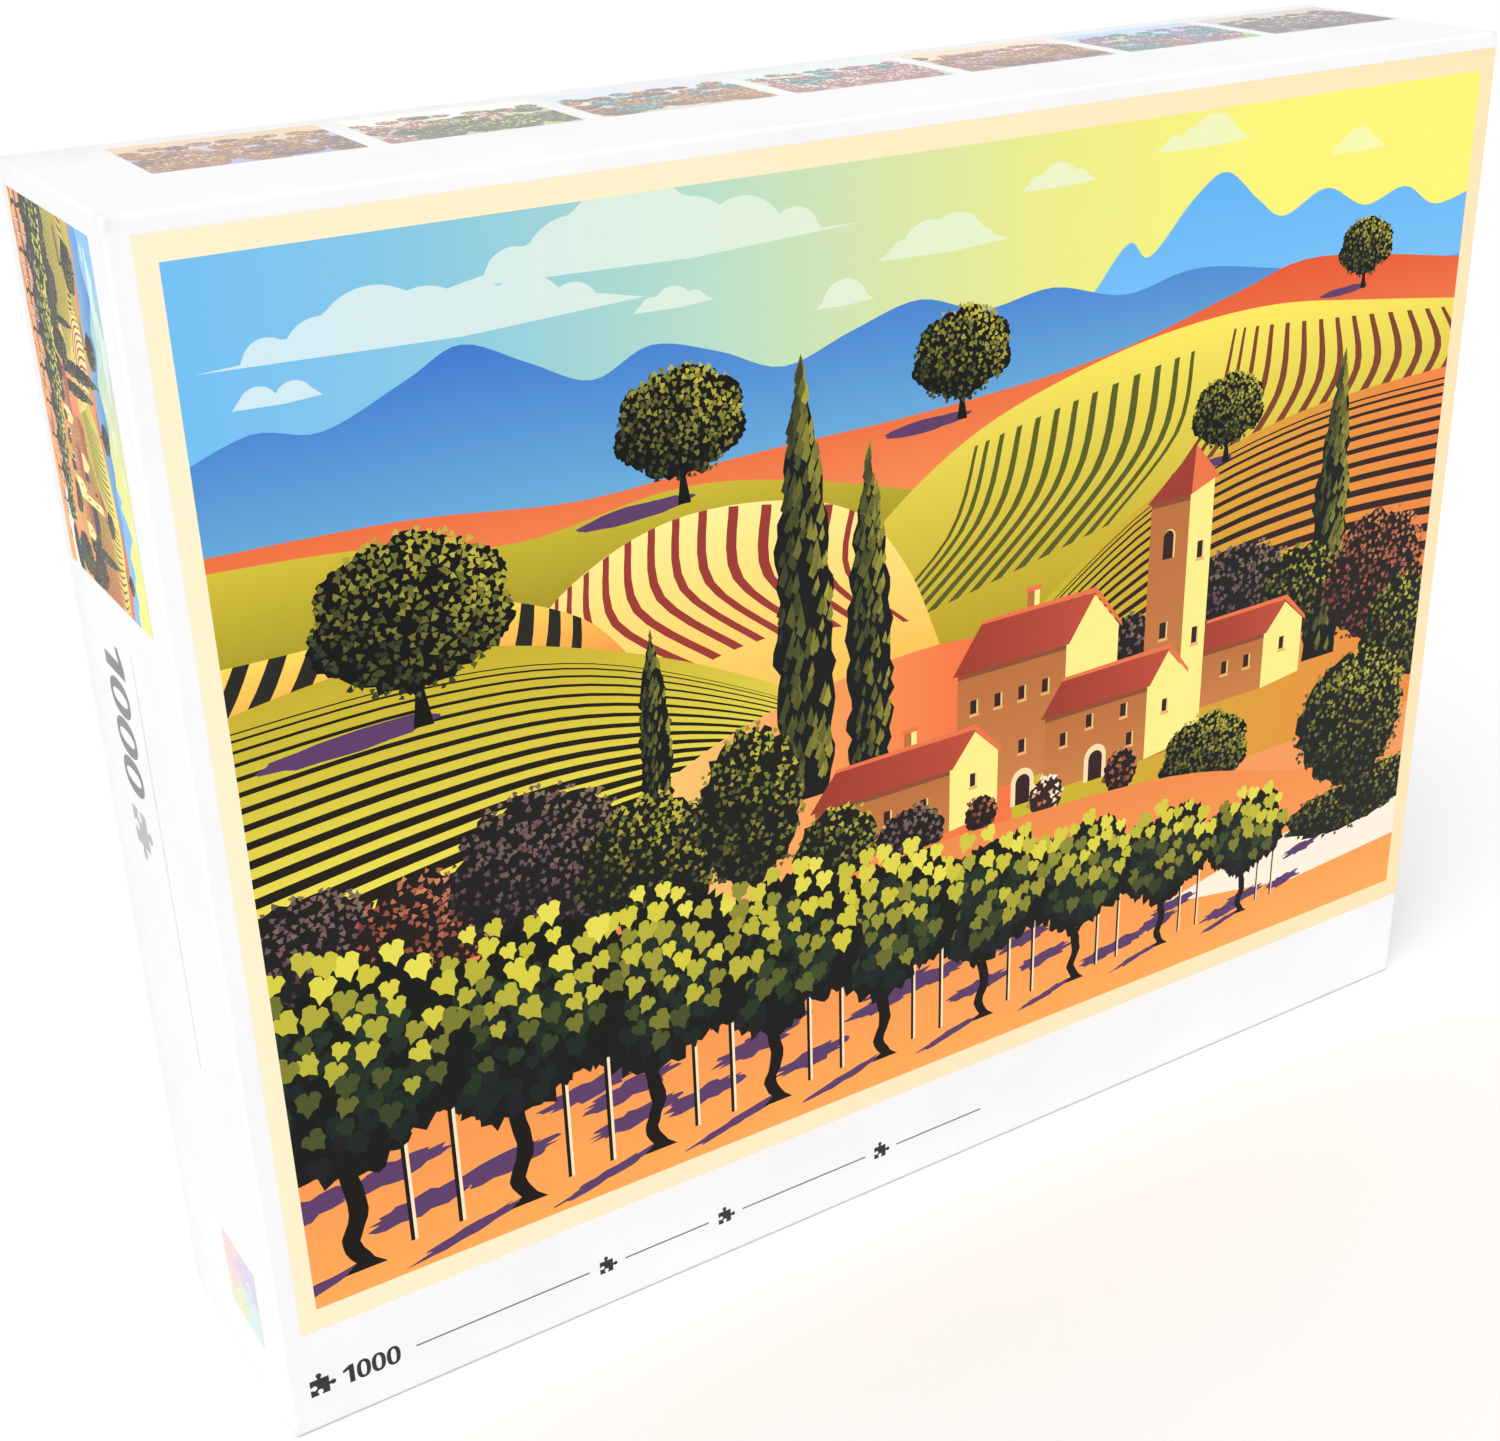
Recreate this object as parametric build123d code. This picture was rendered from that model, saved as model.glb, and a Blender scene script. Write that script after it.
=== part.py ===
from build123d import *
import os
import random
from math import sqrt

# A boxed 1000-piece jigsaw puzzle in a lift-off-lid box, standing on one of its long side walls.
# Millimetres, +Z up, +X along the long side. The lid's picture panel faces -Y and the tray's back
# panel faces +Y. The origin is the middle of the wall that the box stands on.

# ---- Box, measured over the closed lid and tray ----
BOX_WIDTH = 356.0        # along X
BOX_HEIGHT = 280.0       # along Z
BOX_DEPTH = 70.0         # along Y
BOARD = 1.6              # greyboard of both shells
PAPER = 0.2              # wrapping paper with its glue
EDGE_RADIUS = 1.0        # outside of a folded and wrapped edge
TURN_IN = 16.0           # paper folded over the rim and glued inside the wall
TAPE = 0.15              # paper tape that stays each corner
TAPE_LEG = 18.0          # how far the tape reaches along each of the two walls
TAPE_SETBACK = 3.0       # tape ends this far short of the board's rim
CORNER_SLIT = 0.3        # gap where two walls of the folded blank meet
SLIT_START = 4.0         # the slit begins this far behind the panel
LID_SETBACK = 1.0        # the tray's back stands this far proud of the lid's rim
FIT_GAP = 0.5            # play on each side between the tray and the lid's turned-in paper
TRAY_RIM_GAP = 0.3       # between the tray's rim and the inside of the lid's panel

# ---- Reference poster, folded once across and then in four like a concertina ----
POSTER_WIDTH = 254.0     # along X
POSTER_HEIGHT = 178.0    # along Z, over the bends
POSTER_PLY = 0.3         # the sheet doubled
POSTER_GAP = 0.4         # air between neighbouring plies
POSTER_PLIES = 4
POSTER_FRONT = 0.7       # play between the tray's rim plane and the front of the poster

# ---- Bag of loose pieces ----
FILM = 0.2               # poly film
BAG_LENGTH = 292.0       # along X
BAG_DEPTH = 61.0         # along Y
BAG_HEIGHT = 109.5       # along Z, without the seal
BAG_RADIUS = 8.0         # rounding of the filled bag
SEAL_LENGTH = 262.0      # flat heat-sealed band along the top of the bag
SEAL_HEIGHT = 22.0
SEAL_THICKNESS = 0.4
REST_GAP = 0.3           # air under the loose contents, above the tray's turned-in paper
BAG_BACK_GAP = 0.6       # between the bag and the tray's back panel

# ---- Jigsaw ----
COLUMNS = 40
ROWS = 25
PICTURE_WIDTH = 711.2
PICTURE_HEIGHT = 508.0
PIECE_THICKNESS = 1.9
KNOB_RADIUS = 2.6
NECK_HALF = 1.9          # half the width of a knob's neck
KNOB_WANDER = 1.2        # a knob sits up to this far from the middle of its side
STACK_PITCH = 2.15       # one piece and the air beside it, along X
CELL_GAP = 0.4           # air between neighbouring stacks
STACKS_DEEP = 2          # stacks of pieces along Y
STACKS_HIGH = 4          # stacks of pieces along Z
INNER_NODES = 8          # the inner pieces are shared between this many nodes

# ---- Worked out from the above ----
LID_DEPTH = BOX_DEPTH - LID_SETBACK
TRAY_INSET = 2 * PAPER + BOARD + FIT_GAP
TRAY_WIDTH = BOX_WIDTH - 2 * TRAY_INSET
TRAY_HEIGHT = BOX_HEIGHT - 2 * TRAY_INSET
TRAY_DEPTH = BOX_DEPTH - PAPER - BOARD - TRAY_RIM_GAP
TRAY_RIM_Y = BOX_DEPTH / 2 - TRAY_DEPTH
FLOOR_Z = TRAY_INSET + 2 * PAPER + BOARD + REST_GAP
BAG_BACK_Y = BOX_DEPTH / 2 - PAPER - BOARD - BAG_BACK_GAP

PIECE_WIDTH = PICTURE_WIDTH / COLUMNS
PIECE_HEIGHT = PICTURE_HEIGHT / ROWS
KNOB_REACH = KNOB_RADIUS + sqrt(KNOB_RADIUS**2 - NECK_HALF**2)
CELL_Z = PIECE_WIDTH + 2 * KNOB_REACH + CELL_GAP
CELL_Y = PIECE_HEIGHT + 2 * KNOB_REACH + CELL_GAP


def slab(x, y, z):
    """A block between two corners, each given as a (low, high) pair along X, Y and Z."""
    middle = [(low + high) / 2 for low, high in (x, y, z)]
    return Pos(*middle) * Box(*(high - low for low, high in (x, y, z)))


def around(length):
    """The (low, high) pair of a length centred on zero."""
    return (-length / 2, length / 2)


def rounded_block(width, height, y, radius):
    """A block whose panel edges and four corner edges are rounded; its far end stays sharp."""
    block = slab(around(width), y, around(height))
    panel = block.faces().sort_by(Axis.Y)[0]
    return fillet(block.edges().filter_by(Axis.Y) + panel.edges(), radius)


# ---- The two shells ----
# Both are built panel down in a frame of their own: centred on X and Z, the outside of the panel at
# Y = 0 and the rim at Y = depth.

def corner_stays(width, height, depth):
    """Four strips of tape, one folded round each corner of the board under the wrapping paper."""
    y = (PAPER, depth - PAPER)
    block = rounded_block(width - 2 * PAPER, height - 2 * PAPER, y, EDGE_RADIUS - PAPER)
    inset = 2 * (PAPER + TAPE)
    core = rounded_block(width - inset, height - inset, y, EDGE_RADIUS - PAPER - TAPE)
    skin = block - core
    along = (PAPER + BOARD, depth - PAPER - TAPE_SETBACK)
    stays = []
    for side_x in (-1, 1):
        for side_z in (-1, 1):
            corner_x = sorted((side_x * width / 2, side_x * (width / 2 - PAPER - TAPE_LEG)))
            corner_z = sorted((side_z * height / 2, side_z * (height / 2 - PAPER - TAPE_LEG)))
            stays.append(skin & slab(corner_x, along, corner_z))
    return stays


def cavity(width, height, depth, skin):
    """The space inside the walls, which start at the skin's depth under the outside."""
    wall = 2 * (skin + BOARD)
    return slab(around(width - wall), (skin + BOARD, depth + 1), around(height - wall))


def board_shell(width, height, depth, stays):
    """The folded greyboard blank: a panel and four walls, whose ends meet at a slit."""
    y = (PAPER, depth - PAPER)
    shell = rounded_block(width - 2 * PAPER, height - 2 * PAPER, y, EDGE_RADIUS - PAPER)
    shell -= cavity(width, height, depth, PAPER)
    for stay in stays:
        shell -= stay
    wall_end = height / 2 - PAPER - BOARD
    for side_x in (-1, 1):
        for side_z in (-1, 1):
            x = sorted((side_x * width / 2, side_x * (width / 2 - PAPER - 2 * BOARD)))
            z = sorted((side_z * wall_end, side_z * (wall_end - CORNER_SLIT)))
            shell -= slab(x, (SLIT_START, depth), z)
    return shell


def wall_wedge(half_width, half_height, y, level):
    """The frame's stretch that belongs to one wall, top if level and right if not, mitred at its ends."""
    reach = TAPE_LEG
    if level:
        points = [(-half_width, half_height), (half_width, half_height),
                  (half_width - reach, half_height - reach), (reach - half_width, half_height - reach)]
    else:
        points = [(half_width, -half_height), (half_width, half_height),
                  (half_width - reach, half_height - reach), (half_width - reach, reach - half_height)]
    outline = Polyline(*[(x, y[0], z) for x, z in points], close=True)
    return extrude(make_face(outline), amount=y[1] - y[0], dir=(0, 1, 0))


def paper_wrap(width, height, depth):
    """The wrapping sheet: a panel and four flaps, each folded over the rim and turned in."""
    skin = rounded_block(width, height, (0, depth), EDGE_RADIUS)
    inner = (PAPER, depth - PAPER)
    skin -= rounded_block(width - 2 * PAPER, height - 2 * PAPER, inner, EDGE_RADIUS - PAPER)
    skin -= cavity(width, height, depth, PAPER)
    wall = 2 * (PAPER + BOARD)
    turned_in = slab(around(width - wall), (depth - TURN_IN, depth), around(height - wall))
    turned_in -= cavity(width - 2 * PAPER, height - 2 * PAPER, depth, PAPER)
    skin += turned_in

    panel = skin & slab(around(width), (0, EDGE_RADIUS), around(height))
    margin = 1.0
    flaps = []
    for level in (True, False):
        wedge = wall_wedge(width / 2 + margin, height / 2 + margin, (EDGE_RADIUS, depth + margin), level)
        for angle in (0, 180):
            flaps.append(skin & (Rot(0, angle, 0) * wedge))
    return [panel] + flaps


def setup_box(name, width, height, depth, place):
    """Board, wrapping paper and four corner stays of one shell, set in place."""
    stays = corner_stays(width, height, depth)
    nodes = {
        name + "_board": place * board_shell(width, height, depth, stays),
        name + "_wrap": Compound(children=[place * sheet for sheet in paper_wrap(width, height, depth)]),
    }
    for number, stay in enumerate(stays, start=1):
        nodes[f"{name}_corner_stay_{number}"] = place * stay
    return nodes


# ---- Loose contents ----

def folded_poster():
    """Four plies standing side by side, joined in turn by half-round bends at the top and bottom."""
    bend_inner = POSTER_GAP / 2
    bend_outer = bend_inner + POSTER_PLY
    pitch = POSTER_PLY + POSTER_GAP
    front = TRAY_RIM_Y + POSTER_FRONT
    z = (FLOOR_Z + bend_outer, FLOOR_Z + POSTER_HEIGHT - bend_outer)
    x = around(POSTER_WIDTH)
    poster = None
    for ply in range(POSTER_PLIES):
        y = front + ply * pitch
        sheet = slab(x, (y, y + POSTER_PLY), z)
        poster = sheet if poster is None else poster + sheet
        if ply + 1 < POSTER_PLIES:
            upper = ply % 2 == 0
            middle = (y + bend_outer, z[1] if upper else z[0])
            ring = Cylinder(bend_outer, POSTER_WIDTH) - Cylinder(bend_inner, POSTER_WIDTH)
            ring = Pos(0, *middle) * Rot(0, 90, 0) * ring
            half = (middle[1], middle[1] + bend_outer) if upper else (middle[1] - bend_outer, middle[1])
            poster += ring & slab(x, (y, y + 2 * bend_outer), half)
    return poster


def bag_of_film():
    """The closed bag: a thin rounded skin round the pieces, with a flat seal standing on its top."""
    middle = Pos(0, BAG_BACK_Y - BAG_DEPTH / 2, FLOOR_Z + BAG_HEIGHT / 2)
    outside = Box(BAG_LENGTH, BAG_DEPTH, BAG_HEIGHT)
    outside = fillet(outside.edges(), BAG_RADIUS)
    inside = Box(BAG_LENGTH - 2 * FILM, BAG_DEPTH - 2 * FILM, BAG_HEIGHT - 2 * FILM)
    inside = fillet(inside.edges(), BAG_RADIUS - FILM)
    root = BAG_HEIGHT / 2 - FILM / 2
    seal = slab(around(SEAL_LENGTH), around(SEAL_THICKNESS), (root, root + SEAL_HEIGHT))
    return middle * (outside + seal - inside)


# ---- Jigsaw pieces ----

def cut_seams():
    """How the die cuts each seam between two pieces: which way its knob points, and how far off centre.

    The result maps (direction, column, row) to (way, wander). "across" seams lie above a piece and
    "up" seams lie to its right.
    """
    cutter = random.Random(1000)
    seams = {}
    for column in range(COLUMNS):
        for row in range(ROWS):
            for direction in ("across", "up"):
                way = cutter.choice((-1, 1))
                seams[direction, column, row] = (way, cutter.uniform(-KNOB_WANDER, KNOB_WANDER))
    return seams


def piece_side(start, end, seam):
    """One side from start to end, counter-clockwise: straight, or with a round knob or socket."""
    if seam is None:
        return [Line(start, end)]
    way, wander = seam
    along = (end - start).normalized()
    outward = Vector(along.Y, -along.X)
    middle = (start + end) / 2 + along * wander
    neck = (middle - along * NECK_HALF, middle + along * NECK_HALF)
    tip = middle + outward * way * KNOB_REACH
    return [Line(start, neck[0]), ThreePointArc(neck[0], tip, neck[1]), Line(neck[1], end)]


def piece_sides(seams, column, row):
    """The seams on the bottom, right, top and left of a piece, as seen from the piece."""
    below = seams["across", column, row - 1] if row > 0 else None
    right = seams["up", column, row] if column < COLUMNS - 1 else None
    above = seams["across", column, row] if row < ROWS - 1 else None
    left = seams["up", column - 1, row] if column > 0 else None
    if below:
        below = (-below[0], below[1])
    if above:
        above = (above[0], -above[1])
    if left:
        left = (-left[0], -left[1])
    return below, right, above, left


def puzzle_piece(seams, column, row):
    """One die-cut piece, centred on its own middle, printed side up."""
    u, v = PIECE_WIDTH / 2, PIECE_HEIGHT / 2
    corners = [Vector(-u, -v), Vector(u, -v), Vector(u, v), Vector(-u, v)]
    outline = []
    for index, seam in enumerate(piece_sides(seams, column, row)):
        outline += piece_side(corners[index], corners[(index + 1) % 4], seam)
    return Solid.extrude(Face(Wire(outline)), Vector(0, 0, PIECE_THICKNESS))


def sorted_pieces():
    """Node names with the pieces that each holds, as (column, row) pairs."""
    kinds = {"corner_pieces": [], "edge_pieces": []}
    inner = []
    for column in range(COLUMNS):
        for row in range(ROWS):
            borders = (column in (0, COLUMNS - 1)) + (row in (0, ROWS - 1))
            home = (inner, kinds["edge_pieces"], kinds["corner_pieces"])[borders]
            home.append((column, row))
    random.Random(3).shuffle(inner)
    for number in range(INNER_NODES):
        kinds[f"inner_pieces_{number + 1}"] = inner[number::INNER_NODES]
    return kinds


def stacked_pieces():
    """Every piece on edge in the bag, in stacks along X, with each node's pieces side by side."""
    seams = cut_seams()
    kinds = sorted_pieces()
    shuffle = random.Random(5)
    stacks = STACKS_DEEP * STACKS_HIGH
    lengths = [-(-len(pieces) // stacks) for pieces in kinds.values()]
    layer_x = -sum(lengths) * STACK_PITCH / 2
    low_y = BAG_BACK_Y - BAG_DEPTH / 2 - STACKS_DEEP * CELL_Y / 2
    low_z = FLOOR_Z + BAG_HEIGHT / 2 - STACKS_HIGH * CELL_Z / 2
    nodes = {}
    for (name, pieces), length in zip(kinds.items(), lengths):
        solids = []
        for index, (column, row) in enumerate(pieces):
            stack, layer = index % stacks, index // stacks
            middle = (layer_x + (layer + 0.5) * STACK_PITCH,
                      low_y + (stack % STACKS_DEEP + 0.5) * CELL_Y,
                      low_z + (stack // STACKS_DEEP + 0.5) * CELL_Z)
            facing = shuffle.choice((-1, 1))
            upward = shuffle.choice((-1, 1))
            seat = Plane(origin=middle, x_dir=(0, 0, upward), z_dir=(facing, 0, 0))
            centred = Pos(0, 0, -PIECE_THICKNESS / 2)
            solids.append(seat.location * centred * puzzle_piece(seams, column, row))
        nodes[name] = Compound(children=solids)
        layer_x += length * STACK_PITCH
    return nodes


def all_nodes():
    """Every node of the object, by name."""
    lid_place = Pos(0, -BOX_DEPTH / 2, BOX_HEIGHT / 2)
    tray_place = Pos(0, BOX_DEPTH / 2, BOX_HEIGHT / 2) * Rot(0, 0, 180)
    nodes = setup_box("lid", BOX_WIDTH, BOX_HEIGHT, LID_DEPTH, lid_place)
    nodes |= setup_box("tray", TRAY_WIDTH, TRAY_HEIGHT, TRAY_DEPTH, tray_place)
    nodes["poster"] = folded_poster()
    nodes["puzzle_bag"] = bag_of_film()
    nodes |= stacked_pieces()
    return nodes


os.makedirs("parts", exist_ok=True)
for node_name, shape in all_nodes().items():
    export_step(shape, f"parts/{node_name}.step", write_pcurves=False)
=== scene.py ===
# A boxed jigsaw puzzle: a printed lid over a white tray, with a bag of 1000 pieces and a folded poster
# inside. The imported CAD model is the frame. This script adds the wrapping paper, the print, the film bag and
# its pieces, the folded poster and every material. Lengths are in metres, and those of the drawings, the
# poster and the jigsaw's pieces in millimetres.
import math
import random

import bmesh
import bpy
from mathutils import Euler, Matrix, Vector
from mathutils import noise as mathutils_noise
from mathutils.geometry import delaunay_2d_cdt


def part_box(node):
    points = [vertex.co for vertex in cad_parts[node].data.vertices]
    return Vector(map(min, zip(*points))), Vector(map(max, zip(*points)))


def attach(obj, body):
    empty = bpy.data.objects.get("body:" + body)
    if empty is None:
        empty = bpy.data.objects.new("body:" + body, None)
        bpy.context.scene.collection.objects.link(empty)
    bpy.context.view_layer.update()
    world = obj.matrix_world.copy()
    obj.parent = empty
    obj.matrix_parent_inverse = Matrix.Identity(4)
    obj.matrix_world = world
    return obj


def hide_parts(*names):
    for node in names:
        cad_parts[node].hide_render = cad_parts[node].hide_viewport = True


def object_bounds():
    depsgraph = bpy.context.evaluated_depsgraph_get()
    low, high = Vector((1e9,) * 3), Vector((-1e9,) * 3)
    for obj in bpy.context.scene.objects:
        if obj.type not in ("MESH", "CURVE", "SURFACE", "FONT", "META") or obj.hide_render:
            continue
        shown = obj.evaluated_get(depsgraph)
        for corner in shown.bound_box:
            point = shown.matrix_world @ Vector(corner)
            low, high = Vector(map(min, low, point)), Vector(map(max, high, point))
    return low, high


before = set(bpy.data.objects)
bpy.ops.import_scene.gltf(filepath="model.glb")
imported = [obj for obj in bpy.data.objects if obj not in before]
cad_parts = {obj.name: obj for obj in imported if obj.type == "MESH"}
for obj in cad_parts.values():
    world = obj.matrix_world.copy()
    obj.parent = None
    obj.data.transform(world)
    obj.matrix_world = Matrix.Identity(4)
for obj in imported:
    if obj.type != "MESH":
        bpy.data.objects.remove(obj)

MM = 0.001
cad_low, cad_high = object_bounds()
LID_LOW, LID_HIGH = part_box("lid_wrap")
TRAY_LOW, TRAY_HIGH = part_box("tray_wrap")

# The set box: greyboard with a sheet of paper glued round it.
PAPER = 0.2 * MM
WALL = 2.0 * MM  # board with paper on both faces
EDGE_RADIUS = 1.0 * MM
TURN_IN = 16 * MM


# ---- camera, light and floor

CAMERA_PLACE = (-0.2784, -0.4170, 0.3604)
CAMERA_TURN = (63.83, 0.77, -33.44)  # degrees about X, Y and Z
CAMERA_LENS = 51.6
CAMERA_SHIFT = (-0.050, 0.0165)
BACKDROP_LIGHT = 0.74  # what the backdrop sheds on the box, where 1 is how bright it looks
SUN_TOWARDS, SUN_WIDTH, SUN_STRENGTH = (-0.40, -0.36, 0.84), 40, 1.45
FLOOR_REACH = 12  # metres, each way


def put_in_scene(name, data):
    thing = bpy.data.objects.new(name, data)
    bpy.context.scene.collection.objects.link(thing)
    return thing


def set_camera():
    data = bpy.data.cameras.new("camera")
    data.sensor_width = 36
    data.lens = CAMERA_LENS
    data.shift_x, data.shift_y = CAMERA_SHIFT
    camera = put_in_scene("camera", data)
    camera.location = CAMERA_PLACE
    camera.rotation_euler = Euler([math.radians(angle) for angle in CAMERA_TURN])
    bpy.context.scene.camera = camera


def set_studio():
    """A white backdrop all round and one far, wide, soft lamp."""
    scene = bpy.context.scene
    scene.view_settings.view_transform = "Standard"
    world = bpy.data.worlds.new("studio")
    world.use_nodes = True
    nodes, links = world.node_tree.nodes, world.node_tree.links
    background = nodes["Background"]
    background.inputs["Color"].default_value = (1, 1, 1, 1)
    seen = nodes.new("ShaderNodeLightPath")
    level = nodes.new("ShaderNodeMapRange")
    level.inputs["To Min"].default_value = BACKDROP_LIGHT
    level.inputs["To Max"].default_value = 1.0
    links.new(seen.outputs["Is Camera Ray"], level.inputs["Value"])
    links.new(level.outputs["Result"], background.inputs["Strength"])
    scene.world = world
    sun = bpy.data.lights.new("key", "SUN")
    sun.angle = math.radians(SUN_WIDTH)
    sun.energy = SUN_STRENGTH
    put_in_scene("key", sun).rotation_euler = (-Vector(SUN_TOWARDS)).to_track_quat("-Z", "Y").to_euler()


def set_floor():
    mesh = bpy.data.meshes.new("floor")
    corners = [(x * FLOOR_REACH, y * FLOOR_REACH, 0) for x, y in ((-1, -1), (1, -1), (1, 1), (-1, 1))]
    mesh.from_pydata(corners, [], [(0, 1, 2, 3)])
    floor = put_in_scene("floor", mesh)
    floor.location.z = cad_low.z - PAPER
    mesh.materials.append(surface("floor", (0.93, 0.93, 0.93), 0.7))


# ---- materials

def linear(colour):
    """A colour given in the usual 0 to 255 steps, as the linear light that the shader takes."""
    steps = [channel / 255 for channel in colour]
    return tuple(step / 12.92 if step <= 0.04045 else ((step + 0.055) / 1.055) ** 2.4 for step in steps)


def surface(name, colour, roughness, **sockets):
    """A new material with its Principled shader set."""
    material = bpy.data.materials.new(name)
    material.use_nodes = True
    shader = shader_of(material)
    shader.inputs["Base Color"].default_value = (*colour, 1)
    shader.inputs["Roughness"].default_value = roughness
    for socket, value in sockets.items():
        shader.inputs[socket.replace("_", " ")].default_value = value
    return material


def shader_of(material):
    return material.node_tree.nodes["Principled BSDF"]


def add(material, kind, **settings):
    node = material.node_tree.nodes.new(kind)
    for name, value in settings.items():
        setattr(node, name, value)
    return node


def link(material, source, target):
    """target is a node's socket, or the name of one of the shader's own."""
    socket = shader_of(material).inputs[target] if isinstance(target, str) else target
    material.node_tree.links.new(source, socket)


def noise(material, scale, detail=3, stretch=(1, 1, 1)):
    """Noise in the object's own metres: scale is in waves to the metre. Returns its Fac socket."""
    place = add(material, "ShaderNodeTexCoord")
    squeeze = add(material, "ShaderNodeMapping")
    squeeze.inputs["Scale"].default_value = stretch
    texture = add(material, "ShaderNodeTexNoise")
    texture.inputs["Scale"].default_value = scale
    texture.inputs["Detail"].default_value = detail
    link(material, place.outputs["Object"], squeeze.inputs["Vector"])
    link(material, squeeze.outputs["Vector"], texture.inputs["Vector"])
    return texture.outputs["Fac"]


def spread(material, value, low=0.0, high=1.0):
    """value, which is from about 0.3 to 0.7, spread out from low to high."""
    reach = add(material, "ShaderNodeMapRange")
    for socket, amount in (("From Min", 0.3), ("From Max", 0.7), ("To Min", low), ("To Max", high)):
        reach.inputs[socket].default_value = amount
    link(material, value, reach.inputs["Value"])
    return reach.outputs["Result"]


def relief(material, value, height, after=None):
    """Raises the surface by value times height, on top of the relief that after gives. Returns the normal."""
    bump = add(material, "ShaderNodeBump")
    bump.inputs["Strength"].default_value = 1.0
    bump.inputs["Distance"].default_value = height
    link(material, value, bump.inputs["Height"])
    if after:
        link(material, after, bump.inputs["Normal"])
    link(material, bump.outputs["Normal"], "Normal")
    return bump.outputs["Normal"]


def between(material, factor, first, second):
    """A colour from first to second as factor goes from 0 to 1. Each is a colour or a socket."""
    blend = add(material, "ShaderNodeMix", data_type="RGBA")
    for socket, value in ((blend.inputs[6], first), (blend.inputs[7], second)):
        if isinstance(value, tuple):
            socket.default_value = (*linear(value), 1)
        else:
            link(material, value, socket)
    link(material, factor, blend.inputs[0])
    return blend.outputs[2]


def satin(material, smoothest, roughest):
    """Paper's fibres and faint waves, with a gloss that varies a little."""
    link(material, spread(material, noise(material, 160), smoothest, roughest), "Roughness")
    fine = relief(material, noise(material, 1500, 2), 0.006 * MM)
    relief(material, noise(material, 105), 0.025 * MM, fine)


def print_ink(name):
    """Ink on satin paper. Its colour is the drawing's own, held at the sheet's corners."""
    material = surface(name, (0.8, 0.8, 0.8), 0.38, Specular_IOR_Level=0.1)
    ink = add(material, "ShaderNodeAttribute", attribute_name="ink")
    dots = spread(material, noise(material, 2600, 2), 0.0, 0.02)
    link(material, between(material, dots, ink.outputs["Color"], (149, 144, 134)), "Base Color")
    satin(material, 0.34, 0.42)
    return material


def wrap_paper(name, white):
    """Satin white wrapping paper, a little dirty and worn through along its folds."""
    material = surface(name, linear(white), 0.4)
    wear = add(material, "ShaderNodeAttribute", attribute_name="wear")
    scuffs = add(material, "ShaderNodeMath", operation="MULTIPLY")
    link(material, wear.outputs["Fac"], scuffs.inputs[0])
    link(material, spread(material, noise(material, 420, 6)), scuffs.inputs[1])
    dirt = tuple(channel - 5 for channel in white)
    mottled = between(material, spread(material, noise(material, 35, 4)), white, dirt)
    link(material, between(material, scuffs.outputs[0], mottled, (200, 192, 180)), "Base Color")
    satin(material, 0.36, 0.46)
    return material


def fibrous(name, dark, pale, roughness, grain, stretch, height):
    """Board or rough paper: fibres of two shades, with height between them."""
    material = surface(name, linear(dark), roughness)
    fibres = noise(material, grain, 7, stretch)
    shades = between(material, spread(material, fibres), dark, pale)
    specks = spread(material, noise(material, 1900, 1), -2.2, 1.0)
    link(material, between(material, specks, shades, tuple(0.75 * channel for channel in dark)), "Base Color")
    relief(material, fibres, height)
    return material


# ---- meshes

def new_piece(name, points, faces, material, body, replaces=(), colours=(), smooth_angle=None):
    """A mesh object that rides on a body. colours has one colour for each corner of each face."""
    mesh = bpy.data.meshes.new(name)
    mesh.from_pydata(points, [], faces)
    mesh.materials.append(material)
    if colours:
        ink = mesh.color_attributes.new("ink", "FLOAT_COLOR", "CORNER")
        ink.data.foreach_set("color", [channel for colour in colours for channel in (*colour, 1.0)])
    if smooth_angle:
        smooth(mesh, smooth_angle)
    piece = put_in_scene(name, mesh)
    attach(piece, body)
    if replaces:
        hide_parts(*replaces)
    return piece


def smooth(mesh, sharpest):
    """Shades a mesh smooth, but for edges that bend by more than sharpest degrees."""
    mesh.polygons.foreach_set("use_smooth", [True] * len(mesh.polygons))
    mesh.set_sharp_from_angle(angle=math.radians(sharpest))


def band(start, count):
    """The faces that join a closed ring of points to the next one, which follows it in the list."""
    for step in range(count):
        here, there = start + step, start + (step + 1) % count
        yield here, there, there + count, here + count


SIDE_STEPS = [step * MM for step in (1.5, 3, 4.5, 6, 8, 11, 16, 25, 45, 80)]
DEPTH_STEPS = (1.6, 3, 4.5, 6, 8, 11, 16, 25)  # millimetres from an edge
SAME_POINT = MM / 1000  # points closer together than this are made one
EDGE_WEAR, RIM_WEAR, CORNER_WEAR = 0.14, 0.25, 0.45
EDGE_REACH, RIM_REACH, CORNER_REACH = 2.2 * MM, 2 * MM, 5 * MM


def rounded_ring(half_x, half_z, radius, turns=5):
    """Points round a rectangle with rounded corners, closer together near each corner."""
    points = []
    corners = ((1, -1, -90), (1, 1, 0), (-1, 1, 90), (-1, -1, 180))
    for (sign_x, sign_z, start), (next_x, next_z, _) in zip(corners, corners[1:] + corners[:1]):
        centre = Vector((sign_x * (half_x - radius), sign_z * (half_z - radius)))
        for turn in range(turns + 1):
            angle = math.radians(start + 90 * turn / turns)
            points.append(centre + radius * Vector((math.cos(angle), math.sin(angle))))
        following = Vector((next_x * (half_x - radius), next_z * (half_z - radius)))
        ahead = (following - centre).normalized()
        outward = Vector((ahead.y, -ahead.x)) * radius
        points += [centre + outward + ahead * step for step in SIDE_STEPS]
        points += [following + outward - ahead * step for step in reversed(SIDE_STEPS)]
    return points


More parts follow.
